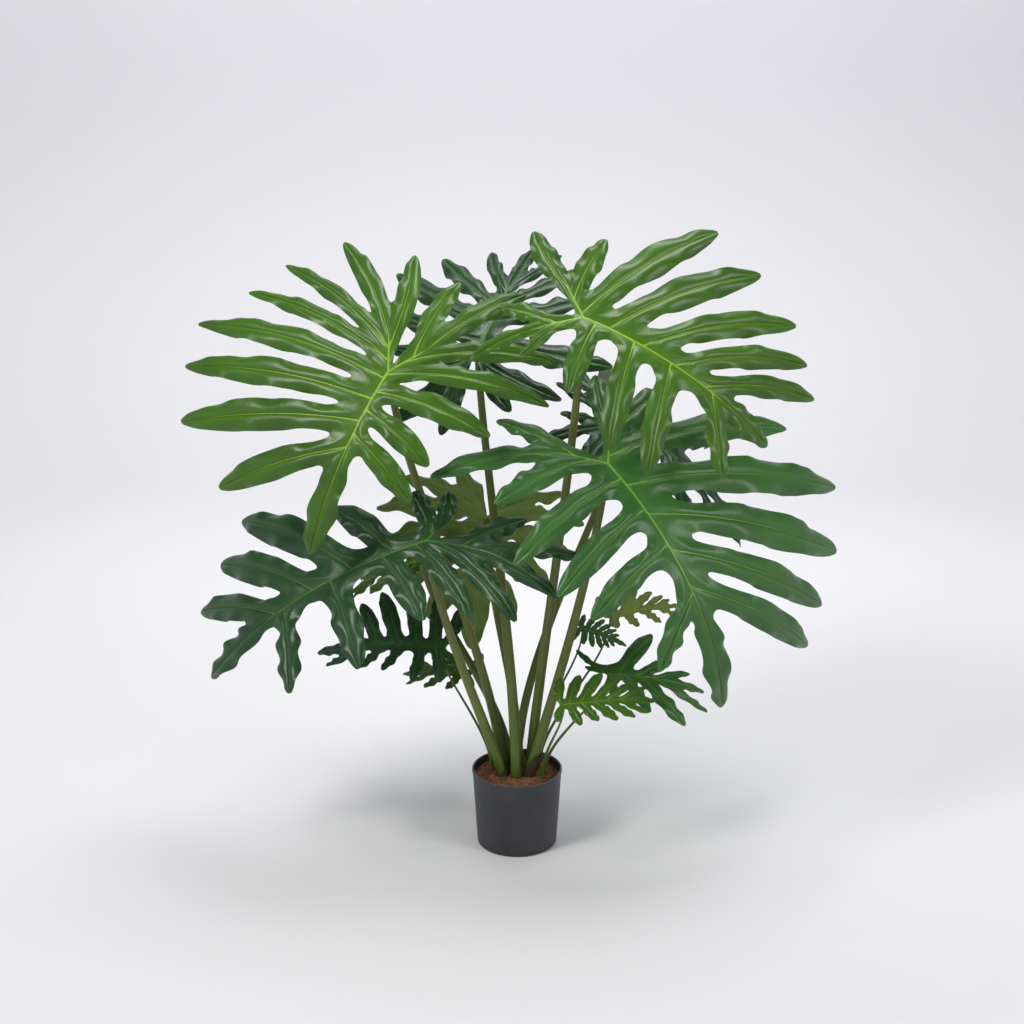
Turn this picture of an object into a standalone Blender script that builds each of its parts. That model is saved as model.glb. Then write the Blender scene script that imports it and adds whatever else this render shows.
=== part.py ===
"""A split-leaf philodendron, the selloum kind, standing in a black nursery pot.

Eight large leaves and six small ones rise on their own stalks from one crown in the soil.
Metres, +Z up, and the origin at the middle of the pot's foot. The front is towards -Y.
"""

import math

import bpy
import numpy as np
from mathutils import Vector, geometry

# Pot
POT_HEIGHT = 0.133
RIM_RADIUS = 0.075
FOOT_RADIUS = 0.0665
POT_WALL = 0.0022
POT_FLOOR = 0.004
FOOT_CHAMFER = 0.003
LIP_HEIGHT = 0.005
LIP_WIDTH = 0.0009
POT_SIDES = 48

# Soil
SOIL_TOP = 0.117
SOIL_MOUND = 0.004
SOIL_GAP = 0.0004
HOLE_DEPTH = 0.055
HOLE_GAP = 0.0004

# Stalks
STALK_FLOOR_GAP = 0.0003
STALK_SEAT_GAP = 0.0006
STALK_CLEAR = 0.0015
STALK_ROWS = 9
LARGE_STALK_SIDES = 8
SMALL_STALK_SIDES = 6
LARGE_STALK_TOP = 0.0055
SMALL_STALK_TOP = 0.0014
STALK_SWELL = 0.12
STALK_SWELL_END = 0.11

# Blades
BLADE_THICKNESS = 0.0011
WAVE_COUNT = 3.3
BAY_GAP = 0.005
BAY_FULL_LENGTH = 0.12
BAY_NEAREST = 0.06
BAY_FARTHEST = 0.62

# Half a lobe's width at its widest is the first value and the second times its length
LARGE_LOBE_SPREAD = (0.0150, 0.042)
SMALL_LOBE_SPREAD = (0.0042, 0.060)
LOBE_ROOT_SHARE = 0.58
LOBE_WIDEST = 0.60
LOBE_FALL_START = 0.50
LOBE_FALL = 1.6
NOTCH_PARTING = 0.12
NOTCH_HALF = 0.0015
LOBE_GAP = 0.035
LOBE_NARROWEST = 0.55

# How a lobe is divided from its bay to its tip, as shares of the way
FRONT_LOBE_ROWS = (0.10, 0.34, 0.58, 0.82, 1.0)
BACK_LOBE_ROWS = (0.12, 0.45, 0.80, 1.0)
SMALL_LOBE_ROWS = (0.30, 0.72, 1.0)

SHARP_EDGE_DEGREES = 40

GREENS = {
    "bright": (0.050, 0.136, 0.010),
    "middle": (0.032, 0.104, 0.020),
    "dark": (0.016, 0.066, 0.018),
}
STALK_GREEN = (0.120, 0.160, 0.028)
POT_BLACK = (0.022, 0.023, 0.026)
SOIL_BROWN = (0.200, 0.085, 0.040)

# One side of a blade, from the tip round to the notch at the stalk. Each lobe is
# (where it leaves the rib, its angle from the midrib in degrees, its length), with the
# place and the length as shares of the blade's length. A place below zero is on the rib
# that runs back from the stalk.
BACK_SIDE = (
    (0.42, 36, 0.50),
    (0.24, 56, 0.62),
    (0.08, 78, 0.66),
    (-0.06, 104, 0.60),
    (-0.16, 134, 0.50),
    (-0.10, 168, 0.36),
)
FAN_SIDE = (
    (0.42, 36, 0.50),
    (0.24, 56, 0.62),
    (0.08, 76, 0.66),
    (-0.06, 100, 0.66),
    (-0.15, 130, 0.62),
    (-0.12, 162, 0.50),
)
SMALL_SIDE = (
    (0.56, 34, 0.26),
    (0.44, 44, 0.34),
    (0.32, 54, 0.38),
    (0.20, 64, 0.40),
    (0.09, 78, 0.38),
    (-0.02, 100, 0.34),
    (-0.08, 140, 0.26),
)

# Each leaf: the colour, where the stalk meets the blade, which way the midrib points there,
# which way the upper face looks, the blade's length, how far it curls, and its stalk's foot
# and how the stalk leans as it arrives.
LEAVES = {}


def shorter(side, share):
    """A side of a blade with its lobes cut down to this share of their length."""
    return tuple((place, degrees, length * share) for place, degrees, length in side)


def leaf(name, **facts):
    """Adds one leaf to the plant, with the plain values that its facts don't change."""
    spec = {
        "green": "middle",
        "small": False,
        "left": BACK_SIDE,
        "right": BACK_SIDE,
        "back_angle": 138,
        "curl_tip": 30,
        "curl_back": 20,
        "curl_left": 40,
        "curl_right": 40,
        "fold": 6,
        "bow": 9,
        "width": 1.0,
        "parting": 0.34,
        "seed": len(LEAVES) + 1,
        "front": False,
        "set_out": (0.0, 0.0, 1.0),
        "start": 0.33,
        "arrive": (0.0, 0.0, 1.0),
        "lean": 0.30,
        "stalk": 0.0078,
    }
    if facts.get("small"):
        spec.update(left=SMALL_SIDE, right=SMALL_SIDE, back_angle=150, parting=0.45)
        spec.update(bow=6, stalk=0.0026)
    spec.update(facts)
    LEAVES[name] = spec


leaf(
    "upper_left",
    green="bright",
    front=True,
    junction=(-0.197, -0.060, 0.824),
    midrib=(-0.49, -0.55, -0.68),
    face=(-0.10, -0.72, 0.65),
    length=0.318,
    back_angle=150,
    curl_tip=50,
    curl_left=50,
    curl_right=25,
    fold=4,
    foot=(-0.022, 0.010),
    set_out=(-0.12, 0.12, 1.0),
    stalk=0.0075,
    left=(
        (0.35, 65, 0.44),
        (0.22, 74, 0.42),
        (0.12, 97, 0.60),
        (0.02, 112, 0.82),
        (-0.09, 125, 0.78),
        (-0.22, 157, 0.60),
        (-0.14, 184, 0.50),
    ),
    right=(
        (0.42, 50, 0.76),
        (0.28, 66, 1.04),
        (0.16, 77, 1.10),
        (0.04, 85, 1.14),
        (-0.06, 95, 0.92),
        (-0.13, 107, 0.82),
        (-0.20, 128, 0.68),
        (-0.13, 161, 0.58),
    ),
)
leaf(
    "upper_right",
    green="bright",
    front=True,
    junction=(0.101, -0.050, 0.906),
    midrib=(0.90, -0.29, -0.31),
    face=(0.05, -0.66, 0.75),
    length=0.360,
    curl_tip=45,
    curl_left=5,
    curl_right=70,
    foot=(0.020, 0.008),
    set_out=(0.10, 0.0, 1.0),
    stalk=0.0080,
    left=(
        (0.60, 36, 0.62),
        (0.44, 40, 0.70),
        (0.28, 45, 0.78),
        (0.12, 54, 0.78),
        (-0.02, 63, 0.76),
        (-0.10, 90, 0.34),
        (-0.16, 140, 0.34),
    ),
    right=(
        (0.64, 50, 0.37),
        (0.42, 72, 0.52),
        (0.24, 75, 0.51),
        (0.06, 84, 0.36),
        (-0.08, 112, 0.26),
        (-0.16, 132, 0.36),
        (-0.12, 176, 0.26),
    ),
)
leaf(
    "middle_right",
    green="middle",
    front=True,
    junction=(0.141, -0.070, 0.680),
    midrib=(0.62, -0.54, -0.56),
    face=(0.15, -0.62, 0.76),
    length=0.463,
    curl_tip=70,
    curl_left=40,
    curl_right=60,
    foot=(0.018, -0.012),
    set_out=(0.30, 0.0, 1.0),
    stalk=0.0085,
    left=(
        (0.50, 40, 0.70),
        (0.36, 45, 0.78),
        (0.22, 52, 0.90),
        (0.10, 62, 0.96),
        (-0.03, 72, 0.76),
        (-0.10, 100, 0.36),
        (-0.14, 150, 0.24),
    ),
    right=(
        (0.52, 52, 0.29),
        (0.34, 78, 0.38),
        (0.20, 78, 0.44),
        (0.07, 85, 0.49),
        (-0.06, 100, 0.37),
        (-0.15, 120, 0.46),
        (-0.11, 156, 0.30),
    ),
)
leaf(
    "lower_left",
    green="dark",
    front=True,
    junction=(-0.142, -0.080, 0.558),
    midrib=(-0.95, -0.12, -0.27),
    face=(-0.15, -0.60, 0.78),
    length=0.460,
    curl_tip=50,
    curl_left=45,
    curl_right=35,
    fold=5,
    back_angle=150,
    width=1.15,
    foot=(-0.021, -0.010),
    set_out=(-0.35, 0.0, 1.0),
    stalk=0.0085,
    left=(
        (0.56, 78, 0.32),
        (0.36, 92, 0.37),
        (0.16, 104, 0.31),
        (0.04, 108, 0.36),
        (-0.05, 114, 0.41),
        (-0.12, 132, 0.40),
        (-0.20, 158, 0.34),
        (-0.13, 190, 0.24),
    ),
    right=(
        (0.60, 36, 0.47),
        (0.43, 44, 0.54),
        (0.27, 50, 0.64),
        (0.12, 60, 0.32),
        (-0.03, 84, 0.20),
        (-0.08, 112, 0.14),
    ),
)
leaf(
    "back_centre",
    junction=(-0.051, 0.165, 0.513),
    midrib=(-0.10, 0.62, -0.75),
    face=(0.05, 0.75, 0.65),
    length=0.280,
    back_angle=150,
    width=1.40,
    parting=0.58,
    curl_tip=50,
    foot=(0.004, 0.030),
    set_out=(0.0, 0.20, 1.0),
    stalk=0.0070,
    left=FAN_SIDE,
    right=shorter(FAN_SIDE, 0.85),
)
leaf(
    "back_top",
    green="dark",
    junction=(-0.063, 0.085, 0.822),
    midrib=(0.31, 0.73, 0.60),
    face=(-0.05, -0.62, 0.78),
    length=0.296,
    back_angle=150,
    curl_tip=25,
    curl_back=50,
    curl_left=30,
    curl_right=30,
    foot=(-0.002, -0.020),
    stalk=0.0085,
    left=(
        (0.48, 30, 0.40),
        (0.34, 53, 0.55),
        (0.20, 66, 0.72),
        (0.08, 82, 0.56),
        (-0.03, 98, 0.51),
        (-0.10, 116, 0.41),
        (-0.18, 148, 0.42),
        (-0.12, 182, 0.42),
    ),
    right=(
        (0.50, 20, 0.50),
        (0.36, 33, 0.62),
        (0.22, 50, 0.57),
        (0.08, 84, 0.73),
        (-0.05, 104, 0.52),
        (-0.12, 132, 0.31),
    ),
)
leaf(
    "back_right",
    green="dark",
    junction=(0.180, 0.140, 0.684),
    midrib=(0.88, -0.05, -0.40),
    face=(0.25, -0.35, 0.90),
    length=0.310,
    curl_tip=50,
    right=shorter(BACK_SIDE, 0.80),
    foot=(0.000, 0.004),
    set_out=(0.0, 0.30, 1.0),
    stalk=0.0070,
)
leaf(
    "back_left",
    green="bright",
    junction=(-0.158, 0.130, 0.452),
    midrib=(-0.93, 0.10, -0.18),
    face=(-0.15, -0.10, 0.95),
    length=0.190,
    curl_tip=45,
    left=shorter(BACK_SIDE, 0.65),
    right=shorter(BACK_SIDE, 0.62),
    foot=(-0.013, 0.026),
    stalk=0.0070,
)
leaf(
    "small_left",
    green="dark",
    small=True,
    width=1.35,
    junction=(-0.129, 0.036, 0.332),
    midrib=(-0.98, 0.20, 0.03),
    face=(-0.10, -0.60, 0.80),
    length=0.232,
    curl_left=30,
    curl_right=20,
    foot=(-0.041, 0.006),
    left=(
        (0.56, 24, 0.34),
        (0.42, 52, 0.24),
        (0.28, 64, 0.24),
        (0.13, 88, 0.30),
        (0.02, 106, 0.30),
        (-0.06, 134, 0.20),
    ),
    right=(
        (0.60, 46, 0.42),
        (0.46, 58, 0.44),
        (0.31, 63, 0.52),
        (0.17, 73, 0.46),
        (0.04, 82, 0.42),
        (-0.06, 98, 0.34),
    ),
)
leaf(
    "small_left_back",
    green="bright",
    small=True,
    width=1.3,
    junction=(-0.084, 0.085, 0.264),
    midrib=(-0.92, 0.39, 0.01),
    face=(-0.20, -0.50, 0.80),
    length=0.138,
    foot=(-0.034, 0.028),
    left=(
        (0.44, 24, 0.44),
        (0.26, 42, 0.36),
        (0.08, 64, 0.28),
        (-0.05, 110, 0.22),
    ),
    right=(
        (0.44, 22, 0.50),
        (0.26, 38, 0.48),
        (0.08, 56, 0.40),
        (-0.06, 92, 0.32),
    ),
)
leaf(
    "small_right_low",
    green="bright",
    small=True,
    width=1.3,
    junction=(0.075, -0.100, 0.289),
    midrib=(0.98, 0.12, 0.09),
    face=(0.0, -0.60, 0.80),
    length=0.154,
    curl_tip=20,
    foot=(0.041, -0.022),
    left=(
        (0.60, 26, 0.36),
        (0.46, 32, 0.43),
        (0.32, 40, 0.46),
        (0.18, 50, 0.45),
        (0.05, 62, 0.38),
        (-0.06, 76, 0.31),
    ),
    right=(
        (0.60, 30, 0.32),
        (0.46, 38, 0.34),
        (0.32, 48, 0.32),
        (0.18, 58, 0.28),
        (0.06, 74, 0.28),
        (-0.05, 108, 0.18),
    ),
)
leaf(
    "small_right",
    green="middle",
    small=True,
    width=1.4,
    junction=(0.151, 0.020, 0.292),
    midrib=(0.99, 0.08, -0.07),
    face=(0.10, -0.55, 0.80),
    length=0.178,
    curl_left=20,
    curl_right=50,
    foot=(0.045, 0.000),
    left=(
        (0.44, 20, 0.42),
        (0.28, 32, 0.42),
        (0.10, 54, 0.62),
        (-0.10, 134, 0.29),
        (-0.05, 164, 0.18),
    ),
    right=(
        (0.48, 22, 0.58),
        (0.32, 44, 0.62),
        (0.16, 58, 0.44),
        (0.02, 84, 0.24),
    ),
)
leaf(
    "small_right_back",
    green="bright",
    small=True,
    width=1.4,
    junction=(0.157, 0.100, 0.361),
    midrib=(0.79, -0.38, 0.48),
    face=(0.10, 0.85, 0.50),
    length=0.165,
    foot=(0.037, 0.022),
    left=(
        (0.58, 50, 0.26),
        (0.40, 80, 0.28),
        (0.20, 96, 0.26),
        (0.04, 114, 0.20),
    ),
    right=(
        (0.60, 26, 0.26),
        (0.46, 28, 0.38),
        (0.30, 32, 0.48),
        (0.15, 38, 0.52),
        (0.02, 48, 0.48),
        (-0.06, 64, 0.36),
    ),
)
leaf(
    "small_back",
    small=True,
    width=1.2,
    junction=(0.108, 0.050, 0.362),
    midrib=(0.85, -0.35, -0.10),
    face=(0.0, -0.60, 0.80),
    length=0.080,
    foot=(0.022, 0.038),
)


def unit(vector):
    return np.asarray(vector, float) / np.linalg.norm(vector)


def heading(degrees, side):
    """The direction in the blade's plane at this angle from the midrib, to side -1 or 1."""
    angle = math.radians(degrees)
    return np.array([side * math.sin(angle), math.cos(angle)])


def lobe_width(lobe, way):
    """Half the lobe's width at a share of the way along it, rounded off at the tip."""
    rise = np.clip(way / LOBE_WIDEST, 0, 1)
    swell = LOBE_ROOT_SHARE + (1 - LOBE_ROOT_SHARE) * rise * rise * (3 - 2 * rise)
    fall = np.clip((way - LOBE_FALL_START) / (1 - LOBE_FALL_START), 0, 1)
    return lobe["half_width"] * swell * (1 - fall**LOBE_FALL) ** 0.5


def lobe_centre(lobe, way):
    """Points on the lobe's own vein, bowed to one side."""
    way = np.atleast_1d(np.asarray(way, float))[:, None]
    root, elbow, tip = lobe["root"], lobe["elbow"], lobe["tip"]
    return (1 - way) ** 2 * root + 2 * way * (1 - way) * elbow + way**2 * tip


def lobe_normal(lobe, way):
    """The direction across the lobe, towards its left."""
    way = np.atleast_1d(np.asarray(way, float))[:, None]
    root, elbow, tip = lobe["root"], lobe["elbow"], lobe["tip"]
    along = 2 * (1 - way) * (elbow - root) + 2 * way * (tip - elbow)
    along /= np.linalg.norm(along, axis=1, keepdims=True)
    return np.stack([-along[:, 1], along[:, 0]], axis=1)


def make_lobe(spec, root, degrees, side, length, bow):
    direction = heading(degrees, side)
    tip = root + direction * length
    elbow = root + heading(degrees + bow, side) * length * 0.5
    base, slope = SMALL_LOBE_SPREAD if spec["small"] else LARGE_LOBE_SPREAD
    return {
        "root": root,
        "elbow": elbow,
        "tip": tip,
        "length": length,
        "half_width": (base + slope * length) * spec["width"],
    }


def part_lobes(lobes, parting):
    """Narrows each lobe that would lie over a neighbour past the gap between them. The
    gap begins at the latest at this share of the shorter lobe."""
    shares = [1.0] * len(lobes)
    for k, first in enumerate(lobes):
        after = (k + 1) % len(lobes)
        second = lobes[after]
        short = min(first["length"], second["length"])
        near = (parting if after else NOTCH_PARTING) * short
        one = np.linspace(near / first["length"], 0.97, 14)
        two = np.linspace(near / second["length"], 0.97, 14)
        spot = lobe_centre(first, one)[:, None] - lobe_centre(second, two)[None]
        wide = lobe_width(first, one)[:, None] + lobe_width(second, two)[None]
        room = np.linalg.norm(spot, axis=2) - LOBE_GAP * short
        share = float(np.clip((room / wide).min(), LOBE_NARROWEST, 1.0))
        shares[k] = min(shares[k], share)
        shares[after] = min(shares[after], share)
    for lobe, share in zip(lobes, shares):
        lobe["half_width"] *= share


def blade_lobes(spec):
    """Every lobe in order round the blade, from the notch's left side over the tip to its
    right side, and the rib point where each lobe's web ends and the next begins."""
    size = spec["length"]
    back = {side: heading(spec["back_angle"], side) for side in (-1, 1)}
    middle_root = max(lobe[0] for lobe in (*spec["left"], *spec["right"]))
    sides = {}
    for side, plan in ((-1, spec["left"]), (1, spec["right"])):
        made = []
        for place, degrees, length in plan:
            root = (
                np.array([0.0, place * size])
                if place >= 0
                else back[side] * -place * size
            )
            lobe = make_lobe(spec, root, degrees, side, length * size, spec["bow"])
            lobe["place"] = abs(place)
            lobe["rib"] = 0 if place >= 0 else side
            made.append(lobe)
        sides[side] = made
    tip_root = np.array([0.0, (middle_root + 0.015) * size])
    tip = make_lobe(spec, tip_root, 0, 1, size - tip_root[1], 0)
    tip["half_width"] *= 1.12
    tip["place"] = middle_root + 0.015
    tip["rib"] = 0
    lobes = [*reversed(sides[-1]), tip, *sides[1]]
    part_lobes(lobes, spec["parting"])
    return lobes, back


def rib_point(rib, place, spec):
    """A point on one of the blade's ribs: 0 the midrib, -1 and 1 the ribs that run back."""
    if rib == 0:
        return np.array([0.0, place * spec["length"]])
    return heading(spec["back_angle"], rib) * place * spec["length"]


def rib_middle(first, second):
    """The place halfway between two neighbouring lobes on one rib, or the stalk's top."""
    if first["rib"] == second["rib"]:
        return round((first["place"] + second["place"]) / 2, 2)
    return 0.0


def lobe_edge(lobe, way, sign):
    """Points on one edge of the lobe, before its bay is cut."""
    return lobe_centre(lobe, way) + sign * lobe_width(lobe, way)[:, None] * lobe_normal(lobe, way)


def bay_point(first, second, middle):
    """Where the gap between two neighbouring lobes begins, and its way along each."""
    short = min(first["length"], second["length"])
    reach = np.linspace(BAY_NEAREST, BAY_FARTHEST, 61) * short
    one = lobe_edge(first, reach / first["length"], -1)
    two = lobe_edge(second, reach / second["length"], 1)
    gaps = np.linalg.norm(one[:, None] - two[None], axis=2)
    narrow = np.argwhere(gaps < BAY_GAP * min(1.0, short / BAY_FULL_LENGTH))
    at = narrow.max(axis=0) if len(narrow) else np.array([0, 0])
    for _ in reach:
        point = (one[at[0]] + two[at[1]]) / 2
        if np.linalg.norm(point - middle) > BAY_NEAREST * short:
            break
        at = np.minimum(at + 1, len(reach) - 1)
    found = []
    for lobe in (first, second):
        samples = np.linspace(0.03, 0.75, 145)
        spans = np.linalg.norm(lobe_centre(lobe, samples) - point, axis=1)
        found.append((samples[spans.argmin()], spans.min()))
    return point, found


def half_lobe(lobe, sign, bay, bay_way, bay_span, other_way, lobe_rows, columns):
    """One half of a lobe as a grid of plan points, its rows running from the bay to the tip.
    Returns the points, the share of the way across, the way along and the free share."""
    across = np.linspace(0, 1, columns + 1)
    mean_way = (bay_way + other_way) / 2
    spare = max(bay_span - lobe_width(lobe, bay_way), 0.0)
    turn = max(1.3 * spare / lobe["length"], 0.02)
    vein = lobe_centre(lobe, mean_way)[0]
    points, ways, frees = [vein + (bay - vein) * across[:, None]], [mean_way], [0.0]
    for share in lobe_rows:
        vein_way = mean_way + (1 - mean_way) * share
        edge_way = bay_way + (1 - bay_way) * share
        vein = lobe_centre(lobe, vein_way)[0]
        past = 1 - np.clip((edge_way - bay_way) / turn, 0, 1)
        width = lobe_width(lobe, edge_way) + spare * (1 - math.sqrt(1 - past**2))
        edge = lobe_centre(lobe, edge_way)[0]
        edge = edge + sign * width * lobe_normal(lobe, edge_way)[0]
        points.append(vein + (edge - vein) * across[:, None])
        ways.append(vein_way)
        frees.append(share)
    return np.array(points), across, np.array(ways), np.array(frees)


def bend(plan, height, spec):
    """Lays plan points on the blade's curled and folded surface, in the leaf's own frame."""
    u, v = plan[..., 0], plan[..., 1]
    size = spec["length"]

    def roll(distance, degrees):
        """Arc of this length bent through degrees over one blade length."""
        rate = math.radians(degrees) / size
        angle = rate * distance
        if abs(rate) < 1e-6:
            return distance, 0 * distance, angle
        return np.sin(angle) / rate, (1 - np.cos(angle)) / rate, angle

    right = u >= 0
    lean = math.radians(spec["fold"])
    x_r, z_r, a_r = roll(np.abs(u), spec["curl_right"])
    x_l, z_l, a_l = roll(np.abs(u), spec["curl_left"])
    x = np.where(right, x_r, x_l)
    z = np.where(right, z_r, z_l)
    angle = np.where(right, a_r, a_l) - lean
    x, z = x * math.cos(lean) + z * math.sin(lean), x * math.sin(lean) - z * math.cos(lean)
    x = x + height * np.sin(angle)
    z = z + height * np.cos(angle)
    x = np.where(right, x, -x)
    y_t, d_t, a_t = roll(np.abs(v), spec["curl_tip"])
    y_b, d_b, a_b = roll(np.abs(v), spec["curl_back"])
    front = v >= 0
    y = np.where(front, y_t, -y_b)
    drop = np.where(front, d_t, d_b)
    turn = np.where(front, a_t, -a_b)
    y, z = y + z * np.sin(turn), z * np.cos(turn) - drop
    return np.stack([x, y, z], axis=-1)


def leaf_frame(spec):
    """The blade's right, forward and upward directions."""
    forward = unit(spec["midrib"])
    up = np.asarray(spec["face"], float)
    up = unit(up - forward * (up @ forward))
    return np.array([np.cross(forward, up), forward, up])


def place_in_plant(points, spec):
    return np.asarray(spec["junction"]) + points @ leaf_frame(spec)


def wave(spec, index, sign, ways, frees, across, lobe):
    """How far the blade's edge waves up and down, nothing on the veins and the web."""
    phase = 2.1 * index + (1.4 if sign > 0 else 0.0) + spec["seed"]
    ramp = np.clip(frees / 0.15, 0, 1) * np.clip((1.02 - frees) / 0.25, 0, 1)
    size = 0.20 * lobe["half_width"]
    swing = np.sin(2 * math.pi * WAVE_COUNT * ways + phase)
    droop = -0.10 * lobe["half_width"]
    return (size * swing + droop)[:, None] * ramp[:, None] * across[None, :] ** 2


def blade_plan(spec):
    """The lobes, the gaps between them and every place on each rib where something meets it."""
    lobes, _ = blade_lobes(spec)
    bays = []
    stations = {0: {0.0}, -1: {0.0}, 1: {0.0}}
    for lobe in lobes:
        stations[lobe["rib"]].add(lobe["place"])
    for first, second in zip(lobes, lobes[1:]):
        place = rib_middle(first, second)
        rib = first["rib"] if first["rib"] == second["rib"] else 0
        if place:
            stations[rib].add(place)
        bays.append((place, *bay_point(first, second, rib_point(rib, place, spec))))
    return lobes, bays, {rib: sorted(places) for rib, places in stations.items()}


def blade_sheet(spec, lobe_rows, columns, web_rows=(0.0, 1.0)):
    """The blade as one sheet: points in the plant and triangles."""
    lobes, bays, stations = blade_plan(spec)
    index_of, plans, heights, triangles = {}, [], [], []

    def point_index(plan, height=0.0):
        key = (round(plan[0], 6), round(plan[1], 6))
        if key not in index_of:
            index_of[key] = len(plans)
            plans.append(plan)
            heights.append(height)
        return index_of[key]

    def add_triangle(a, b, c, sign):
        if len({a, b, c}) == 3:
            triangles.append((a, b, c) if sign < 0 else (c, b, a))

    def add_strip(near, far, sign):
        """Triangles between two rows that need not have equal numbers of points."""
        add_triangle(near[0], far[1], far[0], sign)
        i, j = 0, 1
        while i < len(near) - 1 or j < len(far) - 1:
            on_near = (i + 1) / max(len(near) - 1, 1)
            on_far = (j + 1) / max(len(far) - 1, 1)
            if j == len(far) - 1 or (i < len(near) - 1 and on_near <= on_far):
                add_triangle(near[i], near[i + 1], far[j], sign)
                i += 1
            else:
                add_triangle(near[i], far[j + 1], far[j], sign)
                j += 1

    for index, lobe in enumerate(lobes):
        ends = []
        for sign, at in ((1, index - 1), (-1, index)):
            if 0 <= at < len(bays):
                place, point, found = bays[at]
                way, span = found[1 if sign > 0 else 0]
            else:
                place, way = 0.0, 0.10
                span = float(lobe_width(lobe, way)) * 1.02
                point = lobe_centre(lobe, way)[0] + sign * span * lobe_normal(lobe, way)[0]
                point[0] = -sign * max(-sign * point[0], NOTCH_HALF)
                rib_end = rib_point(lobe["rib"], 1.0, spec)
                if sign * (rib_end[0] * point[1] - rib_end[1] * point[0]) < 0:
                    place = lobe["place"]
            ends.append((sign, place, point, way, span))
        for number, (sign, place, point, way, span) in enumerate(ends):
            other_way = ends[1 - number][3]
            grid, across, ways, frees = half_lobe(
                lobe, sign, point, way, span, other_way, lobe_rows, columns
            )
            height = wave(spec, index, sign, ways, frees, across, lobe)
            low, high = sorted((place, lobe["place"]))
            along = [at for at in stations[lobe["rib"]] if low <= at <= high]
            if lobe["place"] > place:
                along.reverse()
            rib = np.array([rib_point(lobe["rib"], at, spec) for at in along])
            ids = [[point_index(spot) for spot in rib]]
            for share in web_rows[1:-1]:
                at = np.linspace(0, 1, columns + 1)
                spread = np.linspace(0, 1, len(rib))
                base = np.stack([np.interp(at, spread, rib[:, k]) for k in (0, 1)], axis=1)
                ids.append([point_index(spot) for spot in base + (grid[0] - base) * share])
            for row in range(len(grid)):
                ids.append([point_index(grid[row, k], height[row, k]) for k in range(columns + 1)])
            for near, far in zip(ids, ids[1:]):
                add_strip(near, far, sign)
    used = sorted({corner for corners in triangles for corner in corners})
    number_of = {old: new for new, old in enumerate(used)}
    triangles = [[number_of[corner] for corner in corners] for corners in triangles]
    points = bend(np.array(plans)[used], np.array(heights)[used], spec)
    return place_in_plant(points, spec), np.array(triangles)


def thicken(points, triangles, thickness):
    """A closed shell round a sheet."""
    corner = points[triangles]
    facing = np.cross(corner[:, 1] - corner[:, 0], corner[:, 2] - corner[:, 0])
    normals = np.zeros_like(points)
    for k in range(3):
        np.add.at(normals, triangles[:, k], facing)
    normals /= np.maximum(np.linalg.norm(normals, axis=1, keepdims=True), 1e-12)
    count = len(points)
    faces = [tuple(t) for t in triangles] + [tuple(t[::-1] + count) for t in triangles]
    edges = set()
    for t in triangles:
        edges.update(((t[0], t[1]), (t[1], t[2]), (t[2], t[0])))
    for a, b in sorted(edges):
        if (b, a) not in edges:
            faces += [(b, a, a + count), (b, a + count, b + count)]
    verts = np.vstack([points + normals * thickness / 2, points - normals * thickness / 2])
    return verts, faces


def soil_height(x, y):
    reach = RIM_RADIUS - POT_WALL
    return SOIL_TOP + SOIL_MOUND * (1 - (x * x + y * y) / reach**2)


def stalk_ends(spec):
    """The foot of the stalk at the soil, its top under the blade, and the blade's facing."""
    _, _, up = leaf_frame(spec)
    x, y = spec["foot"]
    foot = np.array([x, y, soil_height(x, y) + STALK_CLEAR])
    top = np.asarray(spec["junction"]) - up * (BLADE_THICKNESS / 2 + STALK_SEAT_GAP)
    return foot, top, up


def stalk_line(spec, shares):
    """Points on the middle of the stalk from the soil to the blade."""
    foot, top, up = stalk_ends(spec)
    reach = np.linalg.norm(top - foot)
    arrive = unit(np.asarray(spec["arrive"]) * 0.6 + up * 0.6)
    first = foot + unit(spec["set_out"]) * spec["start"] * reach
    last = top - arrive * spec["lean"] * reach
    t = np.asarray(shares, float)[:, None]
    return (
        (1 - t) ** 3 * foot
        + 3 * t * (1 - t) ** 2 * first
        + 3 * t * t * (1 - t) * last
        + t**3 * top
    )


def ring_axes(direction):
    """Two directions square to this one, steady along a stalk."""
    across = unit(np.cross([0.0, 1.0, 0.0], direction))
    return across, np.cross(direction, across)


def stalk_rings(spec, rows, sides):
    """Rings of points up the stalk: plain and upright in the soil, mitred under the blade."""
    foot, top, up = stalk_ends(spec)
    x, y = spec["foot"]
    turn = np.linspace(0, 2 * math.pi, sides, endpoint=False)[:, None]
    radius = spec["stalk"]
    low = SOIL_TOP - HOLE_DEPTH + STALK_FLOOR_GAP
    rings = []
    across, aside = ring_axes(np.array([0.0, 0.0, 1.0]))
    for level in (low, foot[2]):
        middle = np.array([x, y, level])
        rings.append(middle + radius * (np.cos(turn) * across + np.sin(turn) * aside))
    shares = np.linspace(0, 1, rows + 1)
    line = stalk_line(spec, shares)
    narrow = SMALL_STALK_TOP if spec["small"] else LARGE_STALK_TOP
    for row in range(1, rows + 1):
        share = shares[row]
        ahead = stalk_line(spec, [min(share + 0.01, 1.0)])[0]
        behind = stalk_line(spec, [max(share - 0.01, 0.0)])[0]
        along = unit(ahead - behind)
        across, aside = ring_axes(along)
        swollen = radius * (1 + STALK_SWELL * min(share / STALK_SWELL_END, 1.0))
        wide = swollen + (narrow - swollen) * share**0.8
        ring = line[row] + wide * (np.cos(turn) * across + np.sin(turn) * aside)
        if row == rows:
            ring = ring - along * (((ring - top) @ up) / (along @ up))[:, None]
        rings.append(ring)
    return rings


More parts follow.
